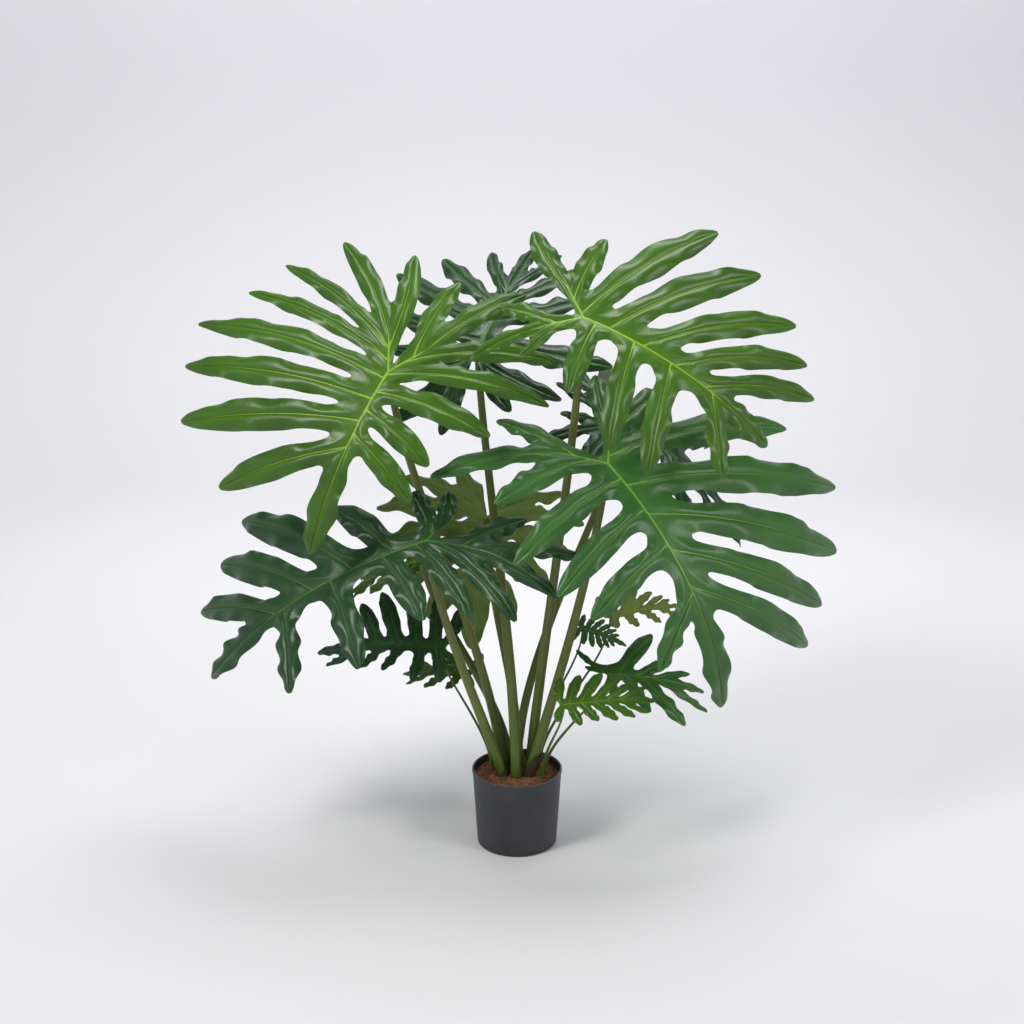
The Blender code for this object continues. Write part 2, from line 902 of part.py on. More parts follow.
def skin_rings(rings):
    """A closed solid through rings of equal numbers of points."""
    sides = len(rings[0])
    points = np.vstack(rings)
    faces = []
    for row in range(len(rings) - 1):
        for k in range(sides):
            a = row * sides + k
            b = row * sides + (k + 1) % sides
            faces += [(a, b, b + sides), (a, b + sides, a + sides)]
    last = (len(rings) - 1) * sides
    for k in range(1, sides - 1):
        faces.append((0, k + 1, k))
        faces.append((last, last + k, last + k + 1))
    return points, faces


def turned(profile, sides):
    """A closed solid of revolution; the profile runs from the axis below to the axis above."""
    angles = np.linspace(0, 2 * math.pi, sides, endpoint=False)
    points = [np.array([0.0, 0.0, profile[0][1]])]
    for radius, level in profile[1:-1]:
        for angle in angles:
            points.append(np.array([radius * math.cos(angle), radius * math.sin(angle), level]))
    points.append(np.array([0.0, 0.0, profile[-1][1]]))
    last = len(points) - 1
    rows = len(profile) - 2
    faces = []
    for k in range(sides):
        n = (k + 1) % sides
        faces.append((0, 1 + n, 1 + k))
        for row in range(rows - 1):
            a, b = 1 + row * sides + k, 1 + row * sides + n
            faces += [(a, b, b + sides), (a, b + sides, a + sides)]
        faces.append((1 + (rows - 1) * sides + k, 1 + (rows - 1) * sides + n, last))
    return np.array(points), faces


def inner_radius(level):
    """The radius of the pot's inside at this height."""
    slope = (RIM_RADIUS - LIP_WIDTH - FOOT_RADIUS) / POT_HEIGHT
    return FOOT_RADIUS + slope * level - POT_WALL


def pot_solid():
    lip = POT_HEIGHT - LIP_HEIGHT
    wall = RIM_RADIUS - LIP_WIDTH
    profile = [
        (0.0, 0.0),
        (FOOT_RADIUS - FOOT_CHAMFER, 0.0),
        (FOOT_RADIUS, FOOT_CHAMFER),
        (wall, lip - LIP_WIDTH),
        (RIM_RADIUS, lip),
        (RIM_RADIUS, POT_HEIGHT - 0.0008),
        (RIM_RADIUS - 0.0008, POT_HEIGHT),
        (inner_radius(POT_HEIGHT), POT_HEIGHT),
        (inner_radius(POT_FLOOR), POT_FLOOR),
        (0.0, POT_FLOOR),
    ]
    return turned(profile, POT_SIDES)


def stalk_sides(spec):
    return SMALL_STALK_SIDES if spec["small"] else LARGE_STALK_SIDES


def soil_solid():
    """The soil that fills the pot, with a plain blind hole for every stalk."""
    loops = []
    top_radius = inner_radius(SOIL_TOP) - SOIL_GAP
    angles = np.linspace(0, 2 * math.pi, POT_SIDES, endpoint=False)
    loops.append([(top_radius * math.cos(a), top_radius * math.sin(a)) for a in angles])
    across, aside = ring_axes(np.array([0.0, 0.0, 1.0]))
    for spec in LEAVES.values():
        turn = np.linspace(0, 2 * math.pi, stalk_sides(spec), endpoint=False)[:, None]
        wide = spec["stalk"] + HOLE_GAP
        ring = wide * (np.cos(turn) * across + np.sin(turn) * aside)
        loops.append([(spec["foot"][0] + p[0], spec["foot"][1] + p[1]) for p in ring])
    flat, edges = [], []
    for loop in loops:
        start = len(flat)
        flat += [Vector(p) for p in loop]
        edges += [(start + k, start + (k + 1) % len(loop)) for k in range(len(loop))]
    found = geometry.delaunay_2d_cdt(flat, edges, [], 0, 1e-7)
    made, triangles = found[0], found[2]
    points = [np.array([p[0], p[1], soil_height(p[0], p[1])]) for p in made]
    faces = []

    def in_hole(spot):
        for spec in LEAVES.values():
            if math.dist(spot, spec["foot"]) < spec["stalk"] * 0.9:
                return True
        return False

    for corners in triangles:
        middle = np.mean([points[k][:2] for k in corners], axis=0)
        if np.linalg.norm(middle) < top_radius and not in_hole(middle):
            a, b, c = (points[k] for k in corners)
            facing = np.cross(b - a, c - a)[2]
            faces.append(tuple(corners) if facing > 0 else tuple(corners[::-1]))
    rim = []
    by_place = {(round(p[0], 6), round(p[1], 6)): k for k, p in enumerate(points)}
    for number, loop in enumerate(loops):
        ring = [by_place[(round(x, 6), round(y, 6))] for x, y in loop]
        start = len(points)
        if number == 0:
            low = POT_FLOOR + SOIL_GAP
            shrink = (inner_radius(low) - SOIL_GAP) / top_radius
            points += [np.array([x * shrink, y * shrink, low]) for x, y in loop]
            rim = list(range(start, start + len(loop)))
        else:
            low = SOIL_TOP - HOLE_DEPTH
            points += [np.array([x, y, low]) for x, y in loop]
        below = list(range(start, start + len(loop)))
        solid = 0.0
        for (x1, y1), (x2, y2) in zip(loop, loop[1:] + loop[:1]):
            solid += x1 * y2 - x2 * y1
        outward = (solid > 0) == (number == 0)
        for k in range(len(loop)):
            n = (k + 1) % len(loop)
            quad = (ring[k], below[k], below[n], ring[n])
            quad = quad if outward else quad[::-1]
            faces += [(quad[0], quad[1], quad[2]), (quad[0], quad[2], quad[3])]
        if number > 0:
            for k in range(1, len(loop) - 1):
                face = (below[0], below[k], below[k + 1])
                faces.append(face if solid > 0 else face[::-1])
    middle = len(points)
    points.append(np.array([0.0, 0.0, POT_FLOOR + SOIL_GAP]))
    for k in range(len(rim)):
        faces.append((middle, rim[(k + 1) % len(rim)], rim[k]))
    return np.array(points), faces


def make_material(name, color, roughness):
    material = bpy.data.materials.new(name)
    material.use_nodes = True
    shader = material.node_tree.nodes["Principled BSDF"]
    shader.inputs["Base Color"].default_value = (*color, 1.0)
    shader.inputs["Roughness"].default_value = roughness
    material.diffuse_color = (*color, 1.0)
    return material


def add_solid(name, points, faces, material):
    mesh = bpy.data.meshes.new(name)
    mesh.from_pydata([tuple(map(float, p)) for p in points], [], [tuple(map(int, f)) for f in faces])
    mesh.materials.append(material)
    mesh.shade_smooth()
    mesh.set_sharp_from_angle(angle=math.radians(SHARP_EDGE_DEGREES))
    thing = bpy.data.objects.new(name, mesh)
    bpy.context.scene.collection.objects.link(thing)
    return thing


def lobe_rows_of(spec):
    if spec["small"]:
        return SMALL_LOBE_ROWS
    return FRONT_LOBE_ROWS if spec["front"] else BACK_LOBE_ROWS


def build_plant():
    for thing in list(bpy.data.objects):
        bpy.data.objects.remove(thing, do_unlink=True)
    greens = {name: make_material(f"{name}_leaf", color, 0.4) for name, color in GREENS.items()}
    stalk_green = make_material("stalk_green", STALK_GREEN, 0.45)
    add_solid("pot", *pot_solid(), make_material("pot_black", POT_BLACK, 0.5))
    add_solid("soil", *soil_solid(), make_material("soil_brown", SOIL_BROWN, 0.9))
    for name, spec in LEAVES.items():
        sheet = blade_sheet(spec, lobe_rows_of(spec), 1)
        blade = thicken(*sheet, BLADE_THICKNESS)
        add_solid(f"blade_{name}", *blade, greens[spec["green"]])
        stalk = skin_rings(stalk_rings(spec, STALK_ROWS, stalk_sides(spec)))
        add_solid(f"stalk_{name}", *stalk, stalk_green)


build_plant()
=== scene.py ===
"""The look of a split-leaf philodendron in a black nursery pot, built round its solids.

Metres, +Z up, the origin at the middle of the pot's foot, and the front towards -Y.
"""

import math
import random

import bpy
import numpy as np
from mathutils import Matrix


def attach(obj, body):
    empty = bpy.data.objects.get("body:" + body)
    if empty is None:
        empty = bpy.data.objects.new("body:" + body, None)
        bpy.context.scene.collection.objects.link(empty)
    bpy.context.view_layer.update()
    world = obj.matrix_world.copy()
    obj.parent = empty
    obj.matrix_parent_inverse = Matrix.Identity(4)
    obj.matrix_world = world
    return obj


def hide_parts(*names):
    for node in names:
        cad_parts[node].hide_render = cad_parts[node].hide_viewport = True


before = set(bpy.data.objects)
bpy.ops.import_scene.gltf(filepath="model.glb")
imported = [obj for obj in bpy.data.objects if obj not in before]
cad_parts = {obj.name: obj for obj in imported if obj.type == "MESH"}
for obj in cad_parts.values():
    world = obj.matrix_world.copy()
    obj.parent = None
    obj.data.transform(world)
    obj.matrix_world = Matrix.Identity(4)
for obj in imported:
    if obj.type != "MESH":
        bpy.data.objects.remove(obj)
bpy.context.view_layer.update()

# Pot
POT_HEIGHT = 0.133
RIM_RADIUS = 0.075
FOOT_RADIUS = 0.0665
POT_WALL = 0.0022
POT_FLOOR = 0.004
FOOT_CHAMFER = 0.003
LIP_HEIGHT = 0.005
LIP_WIDTH = 0.0009

# Soil
SOIL_TOP = 0.117
SOIL_MOUND = 0.004
SOIL_GAP = 0.0004
HOLE_DEPTH = 0.055

# Stalks
STALK_FLOOR_GAP = 0.0003
STALK_SEAT_GAP = 0.0006
STALK_CLEAR = 0.0015
LARGE_STALK_TOP = 0.0055
SMALL_STALK_TOP = 0.0014
STALK_SWELL = 0.12
STALK_SWELL_END = 0.11

# Blades
BLADE_THICKNESS = 0.0011
WAVE_COUNT = 3.3
BAY_GAP = 0.005
BAY_FULL_LENGTH = 0.12
BAY_NEAREST = 0.06
BAY_FARTHEST = 0.62

# Half a lobe's width at its widest is the first value and the second times its length
LARGE_LOBE_SPREAD = (0.0150, 0.042)
SMALL_LOBE_SPREAD = (0.0042, 0.060)
LOBE_ROOT_SHARE = 0.58
LOBE_WIDEST = 0.60
LOBE_FALL_START = 0.50
LOBE_FALL = 1.6
NOTCH_PARTING = 0.12
NOTCH_HALF = 0.0015
LOBE_GAP = 0.035
LOBE_NARROWEST = 0.55

SHARP_EDGE_DEGREES = 40

# One side of a blade, from the tip round to the notch at the stalk. Each lobe is
# (where it leaves the rib, its angle from the midrib in degrees, its length), with the
# place and the length as shares of the blade's length. A place below zero is on the rib
# that runs back from the stalk.
BACK_SIDE = (
    (0.42, 36, 0.50),
    (0.24, 56, 0.62),
    (0.08, 78, 0.66),
    (-0.06, 104, 0.60),
    (-0.16, 134, 0.50),
    (-0.10, 168, 0.36),
)
FAN_SIDE = (
    (0.42, 36, 0.50),
    (0.24, 56, 0.62),
    (0.08, 76, 0.66),
    (-0.06, 100, 0.66),
    (-0.15, 130, 0.62),
    (-0.12, 162, 0.50),
)
SMALL_SIDE = (
    (0.56, 34, 0.26),
    (0.44, 44, 0.34),
    (0.32, 54, 0.38),
    (0.20, 64, 0.40),
    (0.09, 78, 0.38),
    (-0.02, 100, 0.34),
    (-0.08, 140, 0.26),
)

# Each leaf: the colour, where the stalk meets the blade, which way the midrib points there,
# which way the upper face looks, the blade's length, how far it curls, and its stalk's foot
# and how the stalk leans as it arrives.
LEAVES = {}


def shorter(side, share):
    """A side of a blade with its lobes cut down to this share of their length."""
    return tuple((place, degrees, length * share) for place, degrees, length in side)


def leaf(name, **facts):
    """Adds one leaf to the plant, with the plain values that its facts don't change."""
    spec = {
        "green": "middle",
        "small": False,
        "left": BACK_SIDE,
        "right": BACK_SIDE,
        "back_angle": 138,
        "curl_tip": 30,
        "curl_back": 20,
        "curl_left": 40,
        "curl_right": 40,
        "fold": 6,
        "bow": 9,
        "width": 1.0,
        "parting": 0.34,
        "seed": len(LEAVES) + 1,
        "set_out": (0.0, 0.0, 1.0),
        "start": 0.33,
        "arrive": (0.0, 0.0, 1.0),
        "lean": 0.30,
        "stalk": 0.0078,
    }
    if facts.get("small"):
        spec.update(left=SMALL_SIDE, right=SMALL_SIDE, back_angle=150, parting=0.45)
        spec.update(bow=6, stalk=0.0026)
    spec.update(facts)
    LEAVES[name] = spec


leaf(
    "upper_left",
    green="bright",
    junction=(-0.197, -0.060, 0.824),
    midrib=(-0.49, -0.55, -0.68),
    face=(-0.10, -0.72, 0.65),
    length=0.318,
    back_angle=150,
    curl_tip=50,
    curl_left=50,
    curl_right=25,
    fold=4,
    foot=(-0.022, 0.010),
    set_out=(-0.12, 0.12, 1.0),
    stalk=0.0075,
    left=(
        (0.35, 65, 0.44),
        (0.22, 74, 0.42),
        (0.12, 97, 0.60),
        (0.02, 112, 0.82),
        (-0.09, 125, 0.78),
        (-0.22, 157, 0.60),
        (-0.14, 184, 0.50),
    ),
    right=(
        (0.42, 50, 0.76),
        (0.28, 66, 1.04),
        (0.16, 77, 1.10),
        (0.04, 85, 1.14),
        (-0.06, 95, 0.92),
        (-0.13, 107, 0.82),
        (-0.20, 128, 0.68),
        (-0.13, 161, 0.58),
    ),
)
leaf(
    "upper_right",
    green="bright",
    junction=(0.101, -0.050, 0.906),
    midrib=(0.90, -0.29, -0.31),
    face=(0.05, -0.66, 0.75),
    length=0.360,
    curl_tip=45,
    curl_left=5,
    curl_right=70,
    foot=(0.020, 0.008),
    set_out=(0.10, 0.0, 1.0),
    stalk=0.0080,
    left=(
        (0.60, 36, 0.62),
        (0.44, 40, 0.70),
        (0.28, 45, 0.78),
        (0.12, 54, 0.78),
        (-0.02, 63, 0.76),
        (-0.10, 90, 0.34),
        (-0.16, 140, 0.34),
    ),
    right=(
        (0.64, 50, 0.37),
        (0.42, 72, 0.52),
        (0.24, 75, 0.51),
        (0.06, 84, 0.36),
        (-0.08, 112, 0.26),
        (-0.16, 132, 0.36),
        (-0.12, 176, 0.26),
    ),
)
leaf(
    "middle_right",
    green="middle",
    junction=(0.141, -0.070, 0.680),
    midrib=(0.62, -0.54, -0.56),
    face=(0.15, -0.62, 0.76),
    length=0.463,
    curl_tip=70,
    curl_left=40,
    curl_right=60,
    foot=(0.018, -0.012),
    set_out=(0.30, 0.0, 1.0),
    stalk=0.0085,
    left=(
        (0.50, 40, 0.70),
        (0.36, 45, 0.78),
        (0.22, 52, 0.90),
        (0.10, 62, 0.96),
        (-0.03, 72, 0.76),
        (-0.10, 100, 0.36),
        (-0.14, 150, 0.24),
    ),
    right=(
        (0.52, 52, 0.29),
        (0.34, 78, 0.38),
        (0.20, 78, 0.44),
        (0.07, 85, 0.49),
        (-0.06, 100, 0.37),
        (-0.15, 120, 0.46),
        (-0.11, 156, 0.30),
    ),
)
leaf(
    "lower_left",
    green="dark",
    junction=(-0.142, -0.080, 0.558),
    midrib=(-0.95, -0.12, -0.27),
    face=(-0.15, -0.60, 0.78),
    length=0.460,
    curl_tip=50,
    curl_left=45,
    curl_right=35,
    fold=5,
    back_angle=150,
    width=1.15,
    foot=(-0.021, -0.010),
    set_out=(-0.35, 0.0, 1.0),
    stalk=0.0085,
    left=(
        (0.56, 78, 0.32),
        (0.36, 92, 0.37),
        (0.16, 104, 0.31),
        (0.04, 108, 0.36),
        (-0.05, 114, 0.41),
        (-0.12, 132, 0.40),
        (-0.20, 158, 0.34),
        (-0.13, 190, 0.24),
    ),
    right=(
        (0.60, 36, 0.47),
        (0.43, 44, 0.54),
        (0.27, 50, 0.64),
        (0.12, 60, 0.32),
        (-0.03, 84, 0.20),
        (-0.08, 112, 0.14),
    ),
)
leaf(
    "back_centre",
    junction=(-0.051, 0.165, 0.513),
    midrib=(-0.10, 0.62, -0.75),
    face=(0.05, 0.75, 0.65),
    length=0.280,
    back_angle=150,
    width=1.40,
    parting=0.58,
    curl_tip=50,
    foot=(0.004, 0.030),
    set_out=(0.0, 0.20, 1.0),
    stalk=0.0070,
    left=FAN_SIDE,
    right=shorter(FAN_SIDE, 0.85),
)
leaf(
    "back_top",
    green="dark",
    junction=(-0.063, 0.085, 0.822),
    midrib=(0.31, 0.73, 0.60),
    face=(-0.05, -0.62, 0.78),
    length=0.296,
    back_angle=150,
    curl_tip=25,
    curl_back=50,
    curl_left=30,
    curl_right=30,
    foot=(-0.002, -0.020),
    stalk=0.0085,
    left=(
        (0.48, 30, 0.40),
        (0.34, 53, 0.55),
        (0.20, 66, 0.72),
        (0.08, 82, 0.56),
        (-0.03, 98, 0.51),
        (-0.10, 116, 0.41),
        (-0.18, 148, 0.42),
        (-0.12, 182, 0.42),
    ),
    right=(
        (0.50, 20, 0.50),
        (0.36, 33, 0.62),
        (0.22, 50, 0.57),
        (0.08, 84, 0.73),
        (-0.05, 104, 0.52),
        (-0.12, 132, 0.31),
    ),
)
leaf(
    "back_right",
    green="dark",
    junction=(0.180, 0.140, 0.684),
    midrib=(0.88, -0.05, -0.40),
    face=(0.25, -0.35, 0.90),
    length=0.310,
    curl_tip=50,
    right=shorter(BACK_SIDE, 0.80),
    foot=(0.000, 0.004),
    set_out=(0.0, 0.30, 1.0),
    stalk=0.0070,
)
leaf(
    "back_left",
    green="bright",
    junction=(-0.158, 0.130, 0.452),
    midrib=(-0.93, 0.10, -0.18),
    face=(-0.15, -0.10, 0.95),
    length=0.190,
    curl_tip=45,
    left=shorter(BACK_SIDE, 0.65),
    right=shorter(BACK_SIDE, 0.62),
    foot=(-0.013, 0.026),
    stalk=0.0070,
)
leaf(
    "small_left",
    green="dark",
    small=True,
    width=1.35,
    junction=(-0.129, 0.036, 0.332),
    midrib=(-0.98, 0.20, 0.03),
    face=(-0.10, -0.60, 0.80),
    length=0.232,
    curl_left=30,
    curl_right=20,
    foot=(-0.041, 0.006),
    left=(
        (0.56, 24, 0.34),
        (0.42, 52, 0.24),
        (0.28, 64, 0.24),
        (0.13, 88, 0.30),
        (0.02, 106, 0.30),
        (-0.06, 134, 0.20),
    ),
    right=(
        (0.60, 46, 0.42),
        (0.46, 58, 0.44),
        (0.31, 63, 0.52),
        (0.17, 73, 0.46),
        (0.04, 82, 0.42),
        (-0.06, 98, 0.34),
    ),
)
leaf(
    "small_left_back",
    green="bright",
    small=True,
    width=1.3,
    junction=(-0.084, 0.085, 0.264),
    midrib=(-0.92, 0.39, 0.01),
    face=(-0.20, -0.50, 0.80),
    length=0.138,
    foot=(-0.034, 0.028),
    left=(
        (0.44, 24, 0.44),
        (0.26, 42, 0.36),
        (0.08, 64, 0.28),
        (-0.05, 110, 0.22),
    ),
    right=(
        (0.44, 22, 0.50),
        (0.26, 38, 0.48),
        (0.08, 56, 0.40),
        (-0.06, 92, 0.32),
    ),
)
leaf(
    "small_right_low",
    green="bright",
    small=True,
    width=1.3,
    junction=(0.075, -0.100, 0.289),
    midrib=(0.98, 0.12, 0.09),
    face=(0.0, -0.60, 0.80),
    length=0.154,
    curl_tip=20,
    foot=(0.041, -0.022),
    left=(
        (0.60, 26, 0.36),
        (0.46, 32, 0.43),
        (0.32, 40, 0.46),
        (0.18, 50, 0.45),
        (0.05, 62, 0.38),
        (-0.06, 76, 0.31),
    ),
    right=(
        (0.60, 30, 0.32),
        (0.46, 38, 0.34),
        (0.32, 48, 0.32),
        (0.18, 58, 0.28),
        (0.06, 74, 0.28),
        (-0.05, 108, 0.18),
    ),
)
leaf(
    "small_right",
    green="middle",
    small=True,
    width=1.4,
    junction=(0.151, 0.020, 0.292),
    midrib=(0.99, 0.08, -0.07),
    face=(0.10, -0.55, 0.80),
    length=0.178,
    curl_left=20,
    curl_right=50,
    foot=(0.045, 0.000),
    left=(
        (0.44, 20, 0.42),
        (0.28, 32, 0.42),
        (0.10, 54, 0.62),
        (-0.10, 134, 0.29),
        (-0.05, 164, 0.18),
    ),
    right=(
        (0.48, 22, 0.58),
        (0.32, 44, 0.62),
        (0.16, 58, 0.44),
        (0.02, 84, 0.24),
    ),
)
leaf(
    "small_right_back",
    green="bright",
    small=True,
    width=1.4,
    junction=(0.157, 0.100, 0.361),
    midrib=(0.79, -0.38, 0.48),
    face=(0.10, 0.85, 0.50),
    length=0.165,
    foot=(0.037, 0.022),
    left=(
        (0.58, 50, 0.26),
        (0.40, 80, 0.28),
        (0.20, 96, 0.26),
        (0.04, 114, 0.20),
    ),
    right=(
        (0.60, 26, 0.26),
        (0.46, 28, 0.38),
        (0.30, 32, 0.48),
        (0.15, 38, 0.52),
        (0.02, 48, 0.48),
        (-0.06, 64, 0.36),
    ),
)
leaf(
    "small_back",
    small=True,
    width=1.2,
    junction=(0.108, 0.050, 0.362),
    midrib=(0.85, -0.35, -0.10),
    face=(0.0, -0.60, 0.80),
    length=0.080,
    foot=(0.022, 0.038),
)


def unit(vector):
    return np.asarray(vector, float) / np.linalg.norm(vector)


def heading(degrees, side):
    """The direction in the blade's plane at this angle from the midrib, to side -1 or 1."""
    angle = math.radians(degrees)
    return np.array([side * math.sin(angle), math.cos(angle)])


def lobe_width(lobe, way):
    """Half the lobe's width at a share of the way along it, rounded off at the tip."""
    rise = np.clip(way / LOBE_WIDEST, 0, 1)
    swell = LOBE_ROOT_SHARE + (1 - LOBE_ROOT_SHARE) * rise * rise * (3 - 2 * rise)
    fall = np.clip((way - LOBE_FALL_START) / (1 - LOBE_FALL_START), 0, 1)
    return lobe["half_width"] * swell * (1 - fall**LOBE_FALL) ** 0.5


def lobe_centre(lobe, way):
    """Points on the lobe's own vein, bowed to one side."""
    way = np.atleast_1d(np.asarray(way, float))[:, None]
    root, elbow, tip = lobe["root"], lobe["elbow"], lobe["tip"]
    return (1 - way) ** 2 * root + 2 * way * (1 - way) * elbow + way**2 * tip


def lobe_normal(lobe, way):
    """The direction across the lobe, towards its left."""
    way = np.atleast_1d(np.asarray(way, float))[:, None]
    root, elbow, tip = lobe["root"], lobe["elbow"], lobe["tip"]
    along = 2 * (1 - way) * (elbow - root) + 2 * way * (tip - elbow)
    along /= np.linalg.norm(along, axis=1, keepdims=True)
    return np.stack([-along[:, 1], along[:, 0]], axis=1)


def make_lobe(spec, root, degrees, side, length, bow):
    direction = heading(degrees, side)
    tip = root + direction * length
    elbow = root + heading(degrees + bow, side) * length * 0.5
    base, slope = SMALL_LOBE_SPREAD if spec["small"] else LARGE_LOBE_SPREAD
    return {
        "root": root,
        "elbow": elbow,
        "tip": tip,
        "length": length,
        "half_width": (base + slope * length) * spec["width"],
    }


def part_lobes(lobes, parting):
    """Narrows each lobe that would lie over a neighbour past the gap between them. The
    gap begins at the latest at this share of the shorter lobe."""
    shares = [1.0] * len(lobes)
    for k, first in enumerate(lobes):
        after = (k + 1) % len(lobes)
        second = lobes[after]
        short = min(first["length"], second["length"])
        near = (parting if after else NOTCH_PARTING) * short
        one = np.linspace(near / first["length"], 0.97, 14)
        two = np.linspace(near / second["length"], 0.97, 14)
        spot = lobe_centre(first, one)[:, None] - lobe_centre(second, two)[None]
        wide = lobe_width(first, one)[:, None] + lobe_width(second, two)[None]
        room = np.linalg.norm(spot, axis=2) - LOBE_GAP * short
        share = float(np.clip((room / wide).min(), LOBE_NARROWEST, 1.0))
        shares[k] = min(shares[k], share)
        shares[after] = min(shares[after], share)
    for lobe, share in zip(lobes, shares):
        lobe["half_width"] *= share


def blade_lobes(spec):
    """Every lobe in order round the blade, from the notch's left side over the tip to its
    right side, and the rib point where each lobe's web ends and the next begins."""
    size = spec["length"]
    back = {side: heading(spec["back_angle"], side) for side in (-1, 1)}
    middle_root = max(lobe[0] for lobe in (*spec["left"], *spec["right"]))
    sides = {}
    for side, plan in ((-1, spec["left"]), (1, spec["right"])):
        made = []
        for place, degrees, length in plan:
            root = (
                np.array([0.0, place * size])
                if place >= 0
                else back[side] * -place * size
            )
            lobe = make_lobe(spec, root, degrees, side, length * size, spec["bow"])
            lobe["place"] = abs(place)
            lobe["rib"] = 0 if place >= 0 else side
            made.append(lobe)
        sides[side] = made
    tip_root = np.array([0.0, (middle_root + 0.015) * size])
    tip = make_lobe(spec, tip_root, 0, 1, size - tip_root[1], 0)
    tip["half_width"] *= 1.12
    tip["place"] = middle_root + 0.015
    tip["rib"] = 0
    lobes = [*reversed(sides[-1]), tip, *sides[1]]
    part_lobes(lobes, spec["parting"])
    return lobes, back


def rib_point(rib, place, spec):
    """A point on one of the blade's ribs: 0 the midrib, -1 and 1 the ribs that run back."""
    if rib == 0:
        return np.array([0.0, place * spec["length"]])
    return heading(spec["back_angle"], rib) * place * spec["length"]


def rib_middle(first, second):
    """The place halfway between two neighbouring lobes on one rib, or the stalk's top."""
    if first["rib"] == second["rib"]:
        return round((first["place"] + second["place"]) / 2, 2)
    return 0.0


def lobe_edge(lobe, way, sign):
    """Points on one edge of the lobe, before its bay is cut."""
    return lobe_centre(lobe, way) + sign * lobe_width(lobe, way)[:, None] * lobe_normal(lobe, way)


def bay_point(first, second, middle):
    """Where the gap between two neighbouring lobes begins, and its way along each."""
    short = min(first["length"], second["length"])
    reach = np.linspace(BAY_NEAREST, BAY_FARTHEST, 61) * short
    one = lobe_edge(first, reach / first["length"], -1)
    two = lobe_edge(second, reach / second["length"], 1)
    gaps = np.linalg.norm(one[:, None] - two[None], axis=2)
    narrow = np.argwhere(gaps < BAY_GAP * min(1.0, short / BAY_FULL_LENGTH))
    at = narrow.max(axis=0) if len(narrow) else np.array([0, 0])
    for _ in reach:
        point = (one[at[0]] + two[at[1]]) / 2
        if np.linalg.norm(point - middle) > BAY_NEAREST * short:
            break
        at = np.minimum(at + 1, len(reach) - 1)
    found = []
    for lobe in (first, second):
        samples = np.linspace(0.03, 0.75, 145)
        spans = np.linalg.norm(lobe_centre(lobe, samples) - point, axis=1)
        found.append((samples[spans.argmin()], spans.min()))
    return point, found


def half_lobe(lobe, sign, bay, bay_way, bay_span, other_way, lobe_rows, columns):
    """One half of a lobe as a grid of plan points, its rows running from the bay to the tip.
    Returns the points, the share of the way across, the way along and the free share."""
    across = np.linspace(0, 1, columns + 1)
    mean_way = (bay_way + other_way) / 2
    spare = max(bay_span - lobe_width(lobe, bay_way), 0.0)
    turn = max(1.3 * spare / lobe["length"], 0.02)
    vein = lobe_centre(lobe, mean_way)[0]
    points, ways, frees = [vein + (bay - vein) * across[:, None]], [mean_way], [0.0]
    for share in lobe_rows:
        vein_way = mean_way + (1 - mean_way) * share
        edge_way = bay_way + (1 - bay_way) * share
        vein = lobe_centre(lobe, vein_way)[0]
        past = 1 - np.clip((edge_way - bay_way) / turn, 0, 1)
        width = lobe_width(lobe, edge_way) + spare * (1 - math.sqrt(1 - past**2))
        edge = lobe_centre(lobe, edge_way)[0]
        edge = edge + sign * width * lobe_normal(lobe, edge_way)[0]
        points.append(vein + (edge - vein) * across[:, None])
        ways.append(vein_way)
        frees.append(share)
    return np.array(points), across, np.array(ways), np.array(frees)


def bend(plan, height, spec):
    """Lays plan points on the blade's curled and folded surface, in the leaf's own frame."""
    u, v = plan[..., 0], plan[..., 1]
    size = spec["length"]

    def roll(distance, degrees):
        """Arc of this length bent through degrees over one blade length."""
        rate = math.radians(degrees) / size
        angle = rate * distance
        if abs(rate) < 1e-6:
            return distance, 0 * distance, angle
        return np.sin(angle) / rate, (1 - np.cos(angle)) / rate, angle

    right = u >= 0
    lean = math.radians(spec["fold"])
    x_r, z_r, a_r = roll(np.abs(u), spec["curl_right"])
    x_l, z_l, a_l = roll(np.abs(u), spec["curl_left"])
    x = np.where(right, x_r, x_l)
    z = np.where(right, z_r, z_l)
    angle = np.where(right, a_r, a_l) - lean
    x, z = x * math.cos(lean) + z * math.sin(lean), x * math.sin(lean) - z * math.cos(lean)
    x = x + height * np.sin(angle)
    z = z + height * np.cos(angle)
    x = np.where(right, x, -x)
    y_t, d_t, a_t = roll(np.abs(v), spec["curl_tip"])
    y_b, d_b, a_b = roll(np.abs(v), spec["curl_back"])
    front = v >= 0
    y = np.where(front, y_t, -y_b)
    drop = np.where(front, d_t, d_b)
    turn = np.where(front, a_t, -a_b)
    y, z = y + z * np.sin(turn), z * np.cos(turn) - drop
    return np.stack([x, y, z], axis=-1)


def leaf_frame(spec):
    """The blade's right, forward and upward directions."""
    forward = unit(spec["midrib"])
    up = np.asarray(spec["face"], float)
    up = unit(up - forward * (up @ forward))
    return np.array([np.cross(forward, up), forward, up])


def place_in_plant(points, spec):
    return np.asarray(spec["junction"]) + points @ leaf_frame(spec)


def wave(spec, index, sign, ways, frees, across, lobe):
    """How far the blade's edge waves up and down, nothing on the veins and the web."""
    phase = 2.1 * index + (1.4 if sign > 0 else 0.0) + spec["seed"]
    ramp = np.clip(frees / 0.15, 0, 1) * np.clip((1.02 - frees) / 0.25, 0, 1)
    size = 0.20 * lobe["half_width"]
    swing = np.sin(2 * math.pi * WAVE_COUNT * ways + phase)
    droop = -0.10 * lobe["half_width"]
    return (size * swing + droop)[:, None] * ramp[:, None] * across[None, :] ** 2


